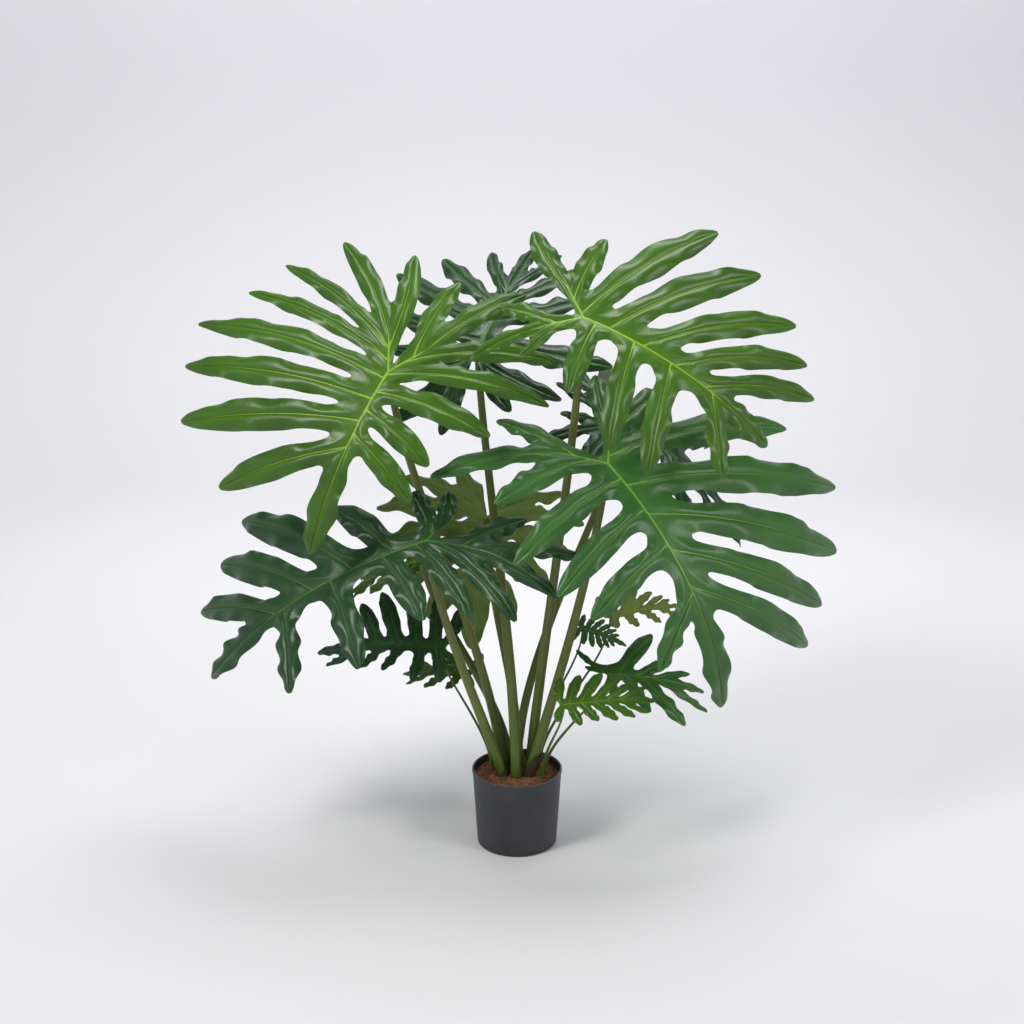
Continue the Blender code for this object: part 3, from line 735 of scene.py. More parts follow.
def blade_plan(spec):
    """The lobes, the gaps between them and every place on each rib where something meets it."""
    lobes, _ = blade_lobes(spec)
    bays = []
    stations = {0: {0.0}, -1: {0.0}, 1: {0.0}}
    for lobe in lobes:
        stations[lobe["rib"]].add(lobe["place"])
    for first, second in zip(lobes, lobes[1:]):
        place = rib_middle(first, second)
        rib = first["rib"] if first["rib"] == second["rib"] else 0
        if place:
            stations[rib].add(place)
        bays.append((place, *bay_point(first, second, rib_point(rib, place, spec))))
    return lobes, bays, {rib: sorted(places) for rib, places in stations.items()}


def thicken(points, triangles, thickness):
    """A closed shell round a sheet."""
    corner = points[triangles]
    facing = np.cross(corner[:, 1] - corner[:, 0], corner[:, 2] - corner[:, 0])
    normals = np.zeros_like(points)
    for k in range(3):
        np.add.at(normals, triangles[:, k], facing)
    normals /= np.maximum(np.linalg.norm(normals, axis=1, keepdims=True), 1e-12)
    count = len(points)
    faces = [tuple(t) for t in triangles] + [tuple(t[::-1] + count) for t in triangles]
    edges = set()
    for t in triangles:
        edges.update(((t[0], t[1]), (t[1], t[2]), (t[2], t[0])))
    for a, b in sorted(edges):
        if (b, a) not in edges:
            faces += [(b, a, a + count), (b, a + count, b + count)]
    verts = np.vstack([points + normals * thickness / 2, points - normals * thickness / 2])
    return verts, faces


def soil_height(x, y):
    reach = RIM_RADIUS - POT_WALL
    return SOIL_TOP + SOIL_MOUND * (1 - (x * x + y * y) / reach**2)


def stalk_ends(spec):
    """The foot of the stalk at the soil, its top under the blade, and the blade's facing."""
    _, _, up = leaf_frame(spec)
    x, y = spec["foot"]
    foot = np.array([x, y, soil_height(x, y) + STALK_CLEAR])
    top = np.asarray(spec["junction"]) - up * (BLADE_THICKNESS / 2 + STALK_SEAT_GAP)
    return foot, top, up


def stalk_line(spec, shares):
    """Points on the middle of the stalk from the soil to the blade."""
    foot, top, up = stalk_ends(spec)
    reach = np.linalg.norm(top - foot)
    arrive = unit(np.asarray(spec["arrive"]) * 0.6 + up * 0.6)
    first = foot + unit(spec["set_out"]) * spec["start"] * reach
    last = top - arrive * spec["lean"] * reach
    t = np.asarray(shares, float)[:, None]
    return (
        (1 - t) ** 3 * foot
        + 3 * t * (1 - t) ** 2 * first
        + 3 * t * t * (1 - t) * last
        + t**3 * top
    )


def ring_axes(direction):
    """Two directions square to this one, steady along a stalk."""
    across = unit(np.cross([0.0, 1.0, 0.0], direction))
    return across, np.cross(direction, across)


def stalk_rings(spec, rows, sides):
    """Rings of points up the stalk: plain and upright in the soil, mitred under the blade."""
    foot, top, up = stalk_ends(spec)
    x, y = spec["foot"]
    turn = np.linspace(0, 2 * math.pi, sides, endpoint=False)[:, None]
    radius = spec["stalk"]
    low = SOIL_TOP - HOLE_DEPTH + STALK_FLOOR_GAP
    rings = []
    across, aside = ring_axes(np.array([0.0, 0.0, 1.0]))
    for level in (low, foot[2]):
        middle = np.array([x, y, level])
        rings.append(middle + radius * (np.cos(turn) * across + np.sin(turn) * aside))
    shares = np.linspace(0, 1, rows + 1)
    line = stalk_line(spec, shares)
    narrow = SMALL_STALK_TOP if spec["small"] else LARGE_STALK_TOP
    for row in range(1, rows + 1):
        share = shares[row]
        ahead = stalk_line(spec, [min(share + 0.01, 1.0)])[0]
        behind = stalk_line(spec, [max(share - 0.01, 0.0)])[0]
        along = unit(ahead - behind)
        across, aside = ring_axes(along)
        swollen = radius * (1 + STALK_SWELL * min(share / STALK_SWELL_END, 1.0))
        wide = swollen + (narrow - swollen) * share**0.8
        ring = line[row] + wide * (np.cos(turn) * across + np.sin(turn) * aside)
        if row == rows:
            ring = ring - along * (((ring - top) @ up) / (along @ up))[:, None]
        rings.append(ring)
    return rings


def skin_rings(rings):
    """A closed solid through rings of equal numbers of points."""
    sides = len(rings[0])
    points = np.vstack(rings)
    faces = []
    for row in range(len(rings) - 1):
        for k in range(sides):
            a = row * sides + k
            b = row * sides + (k + 1) % sides
            faces += [(a, b, b + sides), (a, b + sides, a + sides)]
    last = (len(rings) - 1) * sides
    for k in range(1, sides - 1):
        faces.append((0, k + 1, k))
        faces.append((last, last + k, last + k + 1))
    return points, faces


def inner_radius(level):
    """The radius of the pot's inside at this height."""
    slope = (RIM_RADIUS - LIP_WIDTH - FOOT_RADIUS) / POT_HEIGHT
    return FOOT_RADIUS + slope * level - POT_WALL


# How each size of blade is dressed: its columns across half a lobe and down its web, its rows
# along a lobe and how they crowd towards the tip, how often its outline is softened, the
# swelling of a lobe's halves, half the midrib's width, and the short ripples of its edges.
LARGE_BLADE = {
    "across": (0.0, 0.06, 0.15, 0.36, 0.62, 0.84, 1.0),
    "webs": (0.0, 0.06, 0.2, 0.45, 0.72, 1.0),
    "rows": 38,
    "crowding": 1.4,
    "softening": 14,
    "swell": 0.0034,
    "rib": 0.0027,
    "ripple_pitch": 0.046,
    "ripple_height": 0.0021,
    "ripple_swing": 0.022,
}
SMALL_BLADE = {
    "across": (0.0, 0.10, 0.35, 0.70, 1.0),
    "webs": (0.0, 0.35, 1.0),
    "rows": 18,
    "crowding": 1.3,
    "softening": 6,
    "swell": 0.0011,
    "rib": 0.0009,
    "ripple_pitch": 0.024,
    "ripple_height": 0.0006,
    "ripple_swing": 0.010,
}

# How far along a lobe its swelling comes in, and how far from its tip it fades
SWELL_FADE = 0.12
CHANNEL_DEPTH = 0.40
CHANNEL_WIDTH = 0.10

# Rings and sides of the rods that stand for the ribs and the lobes' veins
RIB_RINGS = 22
RIB_SIDES = 8
VEIN_RINGS = 26
VEIN_SIDES = 6
VEIN_END = 0.93

# Rings and sides of a stalk
LARGE_STALK_DETAIL = (64, 24)
SMALL_STALK_DETAIL = (36, 12)
STALK_GROOVE = 0.10
STALK_RIDGES = 6
STALK_RIDGE_DEPTH = 0.012

# The pot's rolled rim, half its height, and how finely the pot is turned
RIM_ROLL = 0.0009
POT_TURN_SIDES = 144
FOOT_STEPS = 6
WALL_STEPS = 12
ROLL_STEPS = 8
INSIDE_STEPS = 8

# The loose coir on top of the soil's solid
SOIL_LIFT = 0.0040
SOIL_TURN_SIDES = 120
SOIL_RINGS = 34
SOIL_SIDE_STEPS = 5
SOIL_BUMPS = 90
SOIL_BUMP_REACH = 0.07
SOIL_BUMP_WIDTH = (0.004, 0.012)
SOIL_BUMP_HEIGHT = (-0.0010, 0.0013)
CRUMB_TO_POT = 0.003
CRUMB_TO_STALK = 0.0012

# The dry sheaths at the crown
SHEATH_STEPS = (30, 26)
SHEATH_WRAP = 300
SHEATH_OPENING = 170
SHEATH_WALL = 0.0007
SHEATH_LINE_STEPS = 100


# Helpers for the pieces


def deselect():
    for thing in bpy.context.selected_objects:
        thing.select_set(False)


def blade_detail(spec):
    return SMALL_BLADE if spec["small"] else LARGE_BLADE


def mesh_piece(name, points, faces, materials, face_slots=None, maps=None, smooth=True):
    """One object at the origin from computed points, with its slots and its point maps."""
    mesh = bpy.data.meshes.new(name)
    faces = [tuple(int(corner) for corner in face) for face in faces]
    mesh.from_pydata(np.asarray(points, float).tolist(), [], faces)
    for material in materials:
        mesh.materials.append(material)
    if face_slots is not None:
        mesh.polygons.foreach_set("material_index", np.asarray(face_slots, np.int32))
    corners = np.empty(len(mesh.loops), np.int32)
    mesh.loops.foreach_get("vertex_index", corners)
    for title, values in (maps or {}).items():
        layer = mesh.uv_layers.new(name=title)
        layer.data.foreach_set("uv", np.asarray(values, np.float32)[corners].ravel())
    if smooth:
        mesh.shade_smooth()
        mesh.set_sharp_from_angle(angle=math.radians(SHARP_EDGE_DEGREES))
    mesh.update()
    thing = bpy.data.objects.new(name, mesh)
    bpy.context.scene.collection.objects.link(thing)
    return thing


def ripple(spec, index, sign, ways, frees, across, lobe):
    """The short ripples of a lobe's edge: their heights, and how far they swing the edge."""
    detail = blade_detail(spec)
    ways = np.asarray(ways)[:, None]
    frees = np.asarray(frees)[:, None]
    run = ways * lobe["length"] * 2 * math.pi / detail["ripple_pitch"]
    start = 1.9 * index + 2.4 * sign
    fade = np.clip(frees / 0.10, 0, 1) * np.clip((1 - ways) / 0.12, 0, 1)
    strength = 0.65 + 0.35 * np.sin(0.37 * run + 1.3 * index)
    rise = detail["ripple_height"] * fade * strength * np.sin(run + start)
    push = detail["ripple_swing"] * fade * strength * np.sin(run + start + 1.2)
    return rise * across[None, :] ** 2.2, 1 + push * across[None, :] ** 2


def fine_sheet(spec, lobe_rows, across, web_rows):
    """The blade's middle sheet: plan points, heights, triangles and each point's marks,
    which are its share across the lobe, its share along it, its distance from the ribs
    and its distance along the lobe."""
    lobes, bays, stations = blade_plan(spec)
    columns = len(across) - 1
    index_of, plans, heights, marks, triangles = {}, [], [], [], []

    def point_index(plan, height, mark):
        key = (round(plan[0], 6), round(plan[1], 6))
        if key not in index_of:
            index_of[key] = len(plans)
            plans.append(plan)
            heights.append(height)
            marks.append(mark)
        return index_of[key]

    def add_triangle(a, b, c, sign):
        if len({a, b, c}) == 3:
            triangles.append((a, b, c) if sign < 0 else (c, b, a))

    def add_strip(near, far, sign):
        add_triangle(near[0], far[1], far[0], sign)
        i, j = 0, 1
        while i < len(near) - 1 or j < len(far) - 1:
            on_near = (i + 1) / max(len(near) - 1, 1)
            on_far = (j + 1) / max(len(far) - 1, 1)
            if j == len(far) - 1 or (i < len(near) - 1 and on_near <= on_far):
                add_triangle(near[i], near[i + 1], far[j], sign)
                i += 1
            else:
                add_triangle(near[i], far[j + 1], far[j], sign)
                j += 1

    def lobe_ends(lobe, index):
        """Each side's bay: its sign, its place on the rib, its point, and its way and span."""
        for sign, at in ((1, index - 1), (-1, index)):
            if 0 <= at < len(bays):
                place, point, found = bays[at]
                way, span = found[1 if sign > 0 else 0]
            else:
                place, way = 0.0, 0.10
                span = float(lobe_width(lobe, way)) * 1.02
                point = lobe_centre(lobe, way)[0] + sign * span * lobe_normal(lobe, way)[0]
                point[0] = -sign * max(-sign * point[0], NOTCH_HALF)
                rib_end = rib_point(lobe["rib"], 1.0, spec)
                if sign * (rib_end[0] * point[1] - rib_end[1] * point[0]) < 0:
                    place = lobe["place"]
            yield sign, place, point, way, span

    def web_row(rib, edge, share, mean_way, lobe):
        """A row of points between the rib and the lobe's first row, in the web."""
        spread = np.linspace(0, 1, len(rib))
        base = np.stack([np.interp(across, spread, rib[:, k]) for k in (0, 1)], axis=1)
        row = base + (edge - base) * share
        gap = np.linalg.norm(row - base, axis=1)
        way = share * mean_way
        return [
            point_index(row[k], 0.0, (across[k] * share, way, gap[k], way * lobe["length"]))
            for k in range(columns + 1)
        ]

    for index, lobe in enumerate(lobes):
        length = lobe["length"]
        ends = list(lobe_ends(lobe, index))
        for number, (sign, place, point, way, span) in enumerate(ends):
            other_way = ends[1 - number][3]
            grid, _, ways, frees = half_lobe(
                lobe, sign, point, way, span, other_way, lobe_rows, 1
            )
            rolled, swung = ripple(spec, index, sign, ways, frees, across, lobe)
            grid = grid[:, :1] + (grid[:, 1:] - grid[:, :1]) * (across * swung)[:, :, None]
            height = wave(spec, index, sign, ways, frees, across, lobe) + rolled
            low, high = sorted((place, lobe["place"]))
            along = [at for at in stations[lobe["rib"]] if low <= at <= high]
            if lobe["place"] > place:
                along.reverse()
            rib = np.array([rib_point(lobe["rib"], at, spec) for at in along])
            ids = [[point_index(spot, 0.0, (0.0, 0.0, 0.0, 0.0)) for spot in rib]]
            for share in web_rows[1:-1]:
                ids.append(web_row(rib, grid[0], share, ways[0], lobe))
            far_gap = np.linalg.norm(grid[0] - rib[0], axis=1).min()
            for row in range(len(grid)):
                gap, run = far_gap + frees[row] * length, ways[row] * length
                ids.append([
                    point_index(grid[row, k], height[row, k], (across[k], ways[row], gap, run))
                    for k in range(columns + 1)
                ])
            for near, far in zip(ids, ids[1:]):
                add_strip(near, far, sign)
    used = sorted({corner for corners in triangles for corner in corners})
    number_of = {old: new for new, old in enumerate(used)}
    triangles = [[number_of[corner] for corner in corners] for corners in triangles]
    return (
        np.array(plans)[used],
        np.array(heights)[used],
        np.array(triangles),
        np.array(marks)[used],
        lobes,
        stations,
    )


def softened(plan, triangles, rounds):
    """The plan with the corners of its outline rounded off, a little at a time."""
    corners = set()
    for a, b, c in triangles:
        corners.update(((a, b), (b, c), (c, a)))
    rim = np.array([pair for pair in corners if pair[::-1] not in corners])
    plan = plan.copy()
    beside = np.zeros(len(plan))
    np.add.at(beside, rim[:, 0], 1)
    np.add.at(beside, rim[:, 1], 1)
    turning = beside == 2
    for _ in range(rounds):
        total = np.zeros_like(plan)
        np.add.at(total, rim[:, 0], plan[rim[:, 1]])
        np.add.at(total, rim[:, 1], plan[rim[:, 0]])
        plan[turning] += 0.5 * (total[turning] / 2 - plan[turning])
    return plan


def crown(marks, spec):
    """The soft swelling of each lobe's two halves and the channel along its vein."""
    across, way = marks[:, 0], marks[:, 1]
    fade = np.clip(way / SWELL_FADE, 0, 1) * np.clip((1 - way) / SWELL_FADE, 0, 1)
    swell = np.sin(np.pi * np.clip(across, 0, 1) ** 0.8)
    hollow = np.exp(-((across / CHANNEL_WIDTH) ** 2)) * np.clip(1.15 - way, 0, 1)
    return blade_detail(spec)["swell"] * fade * (swell - CHANNEL_DEPTH * hollow)


def vein_tube(spec, line, widths, sides):
    """A flattened tapering rod laid along plan points, standing out of both faces."""
    line = np.asarray(line)
    step = np.gradient(line, axis=0)
    step /= np.maximum(np.linalg.norm(step, axis=1, keepdims=True), 1e-12)
    normal = np.stack([-step[:, 1], step[:, 0]], axis=1)
    turn = np.linspace(0, 2 * math.pi, sides, endpoint=False)
    rings = []
    for k in range(len(line)):
        plan = line[k] + normal[k] * (widths[k] * np.cos(turn))[:, None]
        rise = BLADE_THICKNESS / 2 + widths[k] * 0.30
        sink = BLADE_THICKNESS / 2 + widths[k] * 0.75
        height = np.where(np.sin(turn) >= 0, rise, sink) * np.sin(turn)
        rings.append(place_in_plant(bend(plan, height, spec), spec))
    return skin_rings(rings)


def vein_rods(spec, lobes, stations):
    """A blade's ribs and lobe veins: each closed rod, its sides, and how far out its rings are."""
    thick = blade_detail(spec)["rib"]
    made = []
    for rib, places in stations.items():
        far = places[-1]
        if far <= 0:
            continue
        ats = np.linspace(0.0, far, RIB_RINGS)
        line = [rib_point(rib, at, spec) for at in ats]
        widths = thick * (1.0 - 0.45 * ats / far) * (1.0 if rib == 0 else 0.85)
        made.append((vein_tube(spec, line, widths, RIB_SIDES), RIB_SIDES, ats * 0.45))
    for lobe in lobes:
        ways = np.linspace(0.0, VEIN_END, VEIN_RINGS)
        line = lobe_centre(lobe, ways)
        start = thick * (0.60 - 0.20 * min(lobe["place"], 0.6))
        widths = start * (1 - ways) ** 0.8 + thick * 0.10
        rod = vein_tube(spec, line, widths, VEIN_SIDES)
        made.append((rod, VEIN_SIDES, 0.15 + ways * 0.85))
    return made


def blade_piece(name, spec, looks):
    """A leaf blade: its upper face, its underside, its thin edge and its veins."""
    detail = blade_detail(spec)
    rows = 1 - (1 - np.linspace(0, 1, detail["rows"] + 1)[1:]) ** detail["crowding"]
    plan, height, triangles, marks, lobes, stations = fine_sheet(
        spec, rows, np.array(detail["across"]), detail["webs"]
    )
    plan = softened(plan, triangles, detail["softening"])
    height = height + crown(marks, spec)
    sheet = place_in_plant(bend(plan, height, spec), spec)
    points, faces = thicken(sheet, triangles, BLADE_THICKNESS)
    count = len(triangles)
    slots = [0] * count + [1] * count + [2] * (len(faces) - 2 * count)
    all_points = [points]
    across_along = [marks[:, :2], marks[:, :2]]
    from_rib = [marks[:, 2:] * 10, marks[:, 2:] * 10]
    total = len(points)
    for (rod_points, rod_faces), sides, outward in vein_rods(spec, lobes, stations):
        all_points.append(rod_points)
        faces += [tuple(corner + total for corner in face) for face in rod_faces]
        slots += [3] * len(rod_faces)
        total += len(rod_points)
        share = np.column_stack([np.zeros(len(rod_points)), np.repeat(outward, sides)])
        across_along.append(share)
        from_rib.append(share)
    maps = {"across_along": np.vstack(across_along), "from_rib": np.vstack(from_rib)}
    return mesh_piece(f"leaf_{name}", np.vstack(all_points), faces, looks, slots, maps)


def stalk_piece(name, spec, material):
    """A stalk with a soft channel along its inner side, swelling where it meets the blade."""
    rows, sides = SMALL_STALK_DETAIL if spec["small"] else LARGE_STALK_DETAIL
    rings = stalk_rings(spec, rows, sides)
    turn = np.linspace(0, 2 * math.pi, sides, endpoint=False)
    inner_side = np.exp(-(((turn - 1.5 * math.pi) / 0.5) ** 2))
    ridges = 1 - np.cos(turn * STALK_RIDGES)
    shaped = []
    for number, ring in enumerate(rings):
        middle = ring.mean(axis=0)
        fade = min(max(number - 1, 0) / rows * 6, 1)
        groove = 1 - STALK_GROOVE * inner_side * fade
        ridge = 1 - STALK_RIDGE_DEPTH * ridges * fade
        shaped.append(middle + (ring - middle) * (groove * ridge)[:, None])
    points, faces = skin_rings(shaped)
    along = np.repeat(np.linspace(0, 1, len(rings)), sides)
    around = np.tile(np.linspace(0, 1, sides, endpoint=False), len(rings))
    maps = {"around_along": np.column_stack([around, along])}
    return mesh_piece(f"stem_{name}", points, faces, [material], None, maps)


# Materials


class Nodes:
    """A node tree, and the ways nodes are added to it."""

    def __init__(self, tree):
        self.tree = tree

    def node(self, kind, settings=None, **inputs):
        made = self.tree.nodes.new(kind)
        for key, value in (settings or {}).items():
            setattr(made, key, value)
        for key, value in inputs.items():
            self.feed(made.inputs[key.replace("_", " ")], value)
        return made

    def feed(self, socket, value):
        if isinstance(value, Value):
            self.tree.links.new(value.socket, socket)
        elif hasattr(value, "is_output"):
            self.tree.links.new(value, socket)
        elif isinstance(value, tuple) and len(value) == 3 and socket.type == "RGBA":
            socket.default_value = (*value, 1.0)
        else:
            socket.default_value = value

    def part(self, vector, axis):
        """One part of a vector, by its letter."""
        return Value(self, self.node("ShaderNodeSeparateXYZ", Vector=vector).outputs[axis])

    def mix(self, share, first, second):
        """The first colour where the share is 0 and the second where it is 1."""
        made = self.node("ShaderNodeMix", {"data_type": "RGBA"})
        for number, value in ((0, share), (6, first), (7, second)):
            self.feed(made.inputs[number], value)
        return made.outputs[2]


class Value:
    """A shader socket that does arithmetic by adding Math nodes."""

    def __init__(self, nodes, socket):
        self.nodes, self.socket = nodes, socket

    def _math(self, operation, *values):
        made = self.nodes.node("ShaderNodeMath", {"operation": operation})
        for socket, value in zip(made.inputs, values):
            self.nodes.feed(socket, value)
        return Value(self.nodes, made.outputs[0])

    def __add__(self, other):
        return self._math("ADD", self, other)

    def __radd__(self, other):
        return self._math("ADD", other, self)

    def __sub__(self, other):
        return self._math("SUBTRACT", self, other)

    def __rsub__(self, other):
        return self._math("SUBTRACT", other, self)

    def __mul__(self, other):
        return self._math("MULTIPLY", self, other)

    def __rmul__(self, other):
        return self._math("MULTIPLY", other, self)

    def sine(self):
        return self._math("SINE", self)

    def between(self, low, high):
        """0 below low, 1 above high and smooth between."""
        made = self.nodes.node(
            "ShaderNodeMapRange", {"interpolation_type": "SMOOTHSTEP"},
            Value=self, From_Min=low, From_Max=high,
        )
        return Value(self.nodes, made.outputs["Result"])


class Finish(Nodes):
    """One material and the nodes it is built from."""

    def __init__(self, name):
        self.material = bpy.data.materials.new(name)
        self.material.use_nodes = True
        super().__init__(self.material.node_tree)
        self.shader = self.tree.nodes["Principled BSDF"]

    def here(self):
        return self.node("ShaderNodeTexCoord").outputs["Object"]

    def map(self, title):
        """The two shares that a piece's own map gives at each point."""
        place = self.node("ShaderNodeUVMap", {"uv_map": title}).outputs["UV"]
        return self.part(place, "X"), self.part(place, "Y")

    def noise(self, scale, detail=4.0, roughness=0.55, stretch=None):
        place = self.here()
        if stretch:
            place = self.node("ShaderNodeMapping", Vector=place, Scale=stretch).outputs["Vector"]
        made = self.node(
            "ShaderNodeTexNoise", Vector=place, Scale=scale, Detail=detail, Roughness=roughness
        )
        return Value(self, made.outputs["Fac"])

    def cells(self, scale):
        made = self.node("ShaderNodeTexVoronoi", Vector=self.here(), Scale=scale)
        return Value(self, made.outputs["Distance"])

    def bump(self, height, strength, distance):
        made = self.node("ShaderNodeBump", Height=height, Strength=strength, Distance=distance)
        self.feed(self.shader.inputs["Normal"], made.outputs["Normal"])

    def set(self, **values):
        for key, value in values.items():
            self.feed(self.shader.inputs[key.replace("_", " ")], value)
        return self.material


def scaled(colour, factor):
    return tuple(min(1.0, value * factor) for value in colour)


def blended(first, second, share):
    return tuple(a + (b - a) * share for a, b in zip(first, second))


LEAF_COLOURS = {
    "bright": {
        "body": (0.040, 0.122, 0.002),
        "deep": (0.026, 0.088, 0.001),
        "near_vein": (0.062, 0.162, 0.004),
        "vein": (0.225, 0.400, 0.020),
        "under": (0.170, 0.250, 0.044),
    },
    "middle": {
        "body": (0.034, 0.122, 0.019),
        "deep": (0.022, 0.090, 0.015),
        "near_vein": (0.050, 0.155, 0.022),
        "vein": (0.150, 0.310, 0.040),
        "under": (0.145, 0.230, 0.038),
    },
    "dark": {
        "body": (0.010, 0.056, 0.011),
        "deep": (0.006, 0.036, 0.008),
        "near_vein": (0.018, 0.076, 0.014),
        "vein": (0.060, 0.160, 0.026),
        "under": (0.050, 0.104, 0.028),
    },
}
BROWN_EDGE = (0.100, 0.062, 0.025)
OLD_STALK = (0.120, 0.160, 0.024)
YOUNG_STALK = (0.065, 0.110, 0.024)
STALK_PATCH = (0.165, 0.185, 0.040)
# Painted shade, in a brownish tone, for the stalks' front-right side away from the key light
STALK_SHADED_SIDE = (0.085, 0.070, 0.022)
STALK_GREEN_FOOT = (0.050, 0.125, 0.008)
STALK_DARK_FOOT = (0.030, 0.030, 0.010)
STALK_SPECK = (0.050, 0.035, 0.014)
POT_DARK, POT_LIGHT = (0.020, 0.021, 0.025), (0.030, 0.031, 0.036)
POT_SCUFF = (0.060, 0.060, 0.064)
# Painted highlight along the pot's rolled rim
POT_RIM_HIGHLIGHT = (0.095, 0.090, 0.085)
POT_DUST = (0.110, 0.095, 0.080)
COIR_RED, COIR_BROWN = (0.270, 0.095, 0.040), (0.120, 0.040, 0.018)
COIR_TAN, COIR_DARK = (0.520, 0.290, 0.160), (0.036, 0.016, 0.009)
SHEATH_DARK, SHEATH_LIGHT = (0.022, 0.014, 0.007), (0.055, 0.040, 0.014)

# The reflectance of waxy leaves and stalks
LEAF_SPECULAR = 0.42
SIDE_VEINS_PER_UNIT = 62.0
SIDE_VEIN_SLANT = -7.5


def side_veins(look, across, fine, low):
    """Fine slanting veins across a lobe's halves, none at its vein and its edge."""
    run = look.map("from_rib")[1]
    veins = (run * SIDE_VEINS_PER_UNIT + across * SIDE_VEIN_SLANT + fine * 2.2).sine()
    inside = across.between(0.03, 0.15) * (1.0 - across.between(0.75, 0.98))
    return veins.between(low, 1.0) * inside


def leaf_upper(name, colours):
    """The satin upper face: mottled green, paler by the veins, with painted shade along each
    lobe's vein, and brownish at the rim.
    """
    deep, near_vein = colours["deep"], colours["near_vein"]
    look = Finish(name)
    across = look.map("across_along")[0]
    rib = look.map("from_rib")[0]
    broad = look.noise(9.0, 3.0)
    fine = look.noise(60.0, 4.0)
    speck = look.noise(420.0, 2.0)
    colour = look.mix(broad.between(0.35, 0.68), colours["body"], deep)
    colour = look.mix((1.0 - across.between(0.02, 0.42)) * 0.65, colour, near_vein)
    colour = look.mix((1.0 - rib.between(0.0, 0.22)) * 0.55, colour, near_vein)
    veins = side_veins(look, across, fine, 0.80)
    colour = look.mix(veins * 0.10, colour, near_vein)
    # Painted shade: a thin darker band beside each lobe's vein, standing in for the shade in the
    # channel's crease
    channel = across.between(0.015, 0.05) * (1.0 - across.between(0.08, 0.20))
    colour = look.mix(channel * 0.30, colour, deep)
    colour = look.mix(fine.between(0.60, 0.80) * 0.25, colour, deep)
    colour = look.mix(across.between(0.965, 1.0) * 0.35, colour, blended(deep, BROWN_EDGE, 0.5))
    colour = look.mix(speck.between(0.66, 0.74) * 0.06, colour, colours["vein"])
    look.bump(veins * -0.10 + broad * 1.4 + fine * 0.6 + speck * 0.26, 0.36, 0.0013)
    rough = 0.27 + fine * 0.14 + speck * 0.04
    return look.set(Base_Color=colour, Roughness=rough, Specular_IOR_Level=LEAF_SPECULAR)


def leaf_under(name, colours):
    """The matte, paler underside with its raised side veins."""
    under = colours["under"]
    look = Finish(name)
    across = look.map("across_along")[0]
    broad = look.noise(11.0, 3.0)
    fine = look.noise(70.0, 4.0)
    colour = look.mix(broad.between(0.35, 0.70), under, scaled(under, 0.72))
    colour = look.mix((1.0 - across.between(0.02, 0.35)) * 0.45, colour, scaled(under, 1.35))
    veins = side_veins(look, across, fine, 0.75)
    colour = look.mix(veins * 0.35, colour, scaled(under, 1.4))
    look.bump(veins + fine * 0.4, 0.4, 0.0012)
    return look.set(Base_Color=colour, Roughness=0.50 + fine * 0.15)


def leaf_edge(name, colours):
    """The blade's thin edge, browned in patches."""
    look = Finish(name)
    patch = look.noise(45.0, 3.0)
    green = blended(colours["near_vein"], colours["vein"], 0.3)
    colour = look.mix(patch.between(0.50, 0.72) * 0.7, green, BROWN_EDGE)
    return look.set(Base_Color=colour, Roughness=0.5)


def leaf_vein(name, colours):
    """The ribs and lobe veins, yellowish by the stalk and greener outwards."""
    vein, near_vein = colours["vein"], colours["near_vein"]
    look = Finish(name)
    outward = look.map("across_along")[1]
    fine = look.noise(90.0, 3.0)
    colour = look.mix(outward.between(0.15, 0.90), vein, blended(vein, near_vein, 0.65))
    colour = look.mix(fine.between(0.35, 0.70) * 0.35, colour, near_vein)
    look.bump(fine, 0.25, 0.0006)
    rough = 0.36 + fine * 0.12
    return look.set(Base_Color=colour, Roughness=rough, Specular_IOR_Level=LEAF_SPECULAR)


def stalk_look(name, tone):
    """A waxy stalk: streaked, with painted shade in brown down its front-right side, fresh green
    and then dark at its foot.
    """
    look = Finish(name)
    around, along = look.map("around_along")
    streak = look.noise(30.0, 5.0, 0.6, (9.0, 9.0, 0.55))
    fine = look.noise(240.0, 3.0)
    patch = look.noise(14.0, 3.0)
    colour = look.mix(streak.between(0.35, 0.68) * 0.45, tone, scaled(tone, 0.62))
    colour = look.mix(patch.between(0.50, 0.75) * 0.30, colour, STALK_PATCH)
    # Painted shade: a brownish band down the stalk's front-right side, the side away from the key
    # light
    past = around - 0.5
    side = past.between(0.20, 0.36) * (1.0 - past.between(0.40, 0.5))
    colour = look.mix(side * 0.45, colour, STALK_SHADED_SIDE)
    colour = look.mix((1.0 - along.between(0.04, 0.34)) * 0.60, colour, STALK_GREEN_FOOT)
    colour = look.mix((1.0 - along.between(0.0, 0.05)) * 0.55, colour, STALK_DARK_FOOT)
    colour = look.mix(fine.between(0.66, 0.75) * 0.25, colour, STALK_SPECK)
    look.bump(streak * 0.8 + fine * 0.25, 0.35, 0.0010)
    rough = 0.36 + streak * 0.14
    return look.set(Base_Color=colour, Roughness=rough, Specular_IOR_Level=LEAF_SPECULAR)


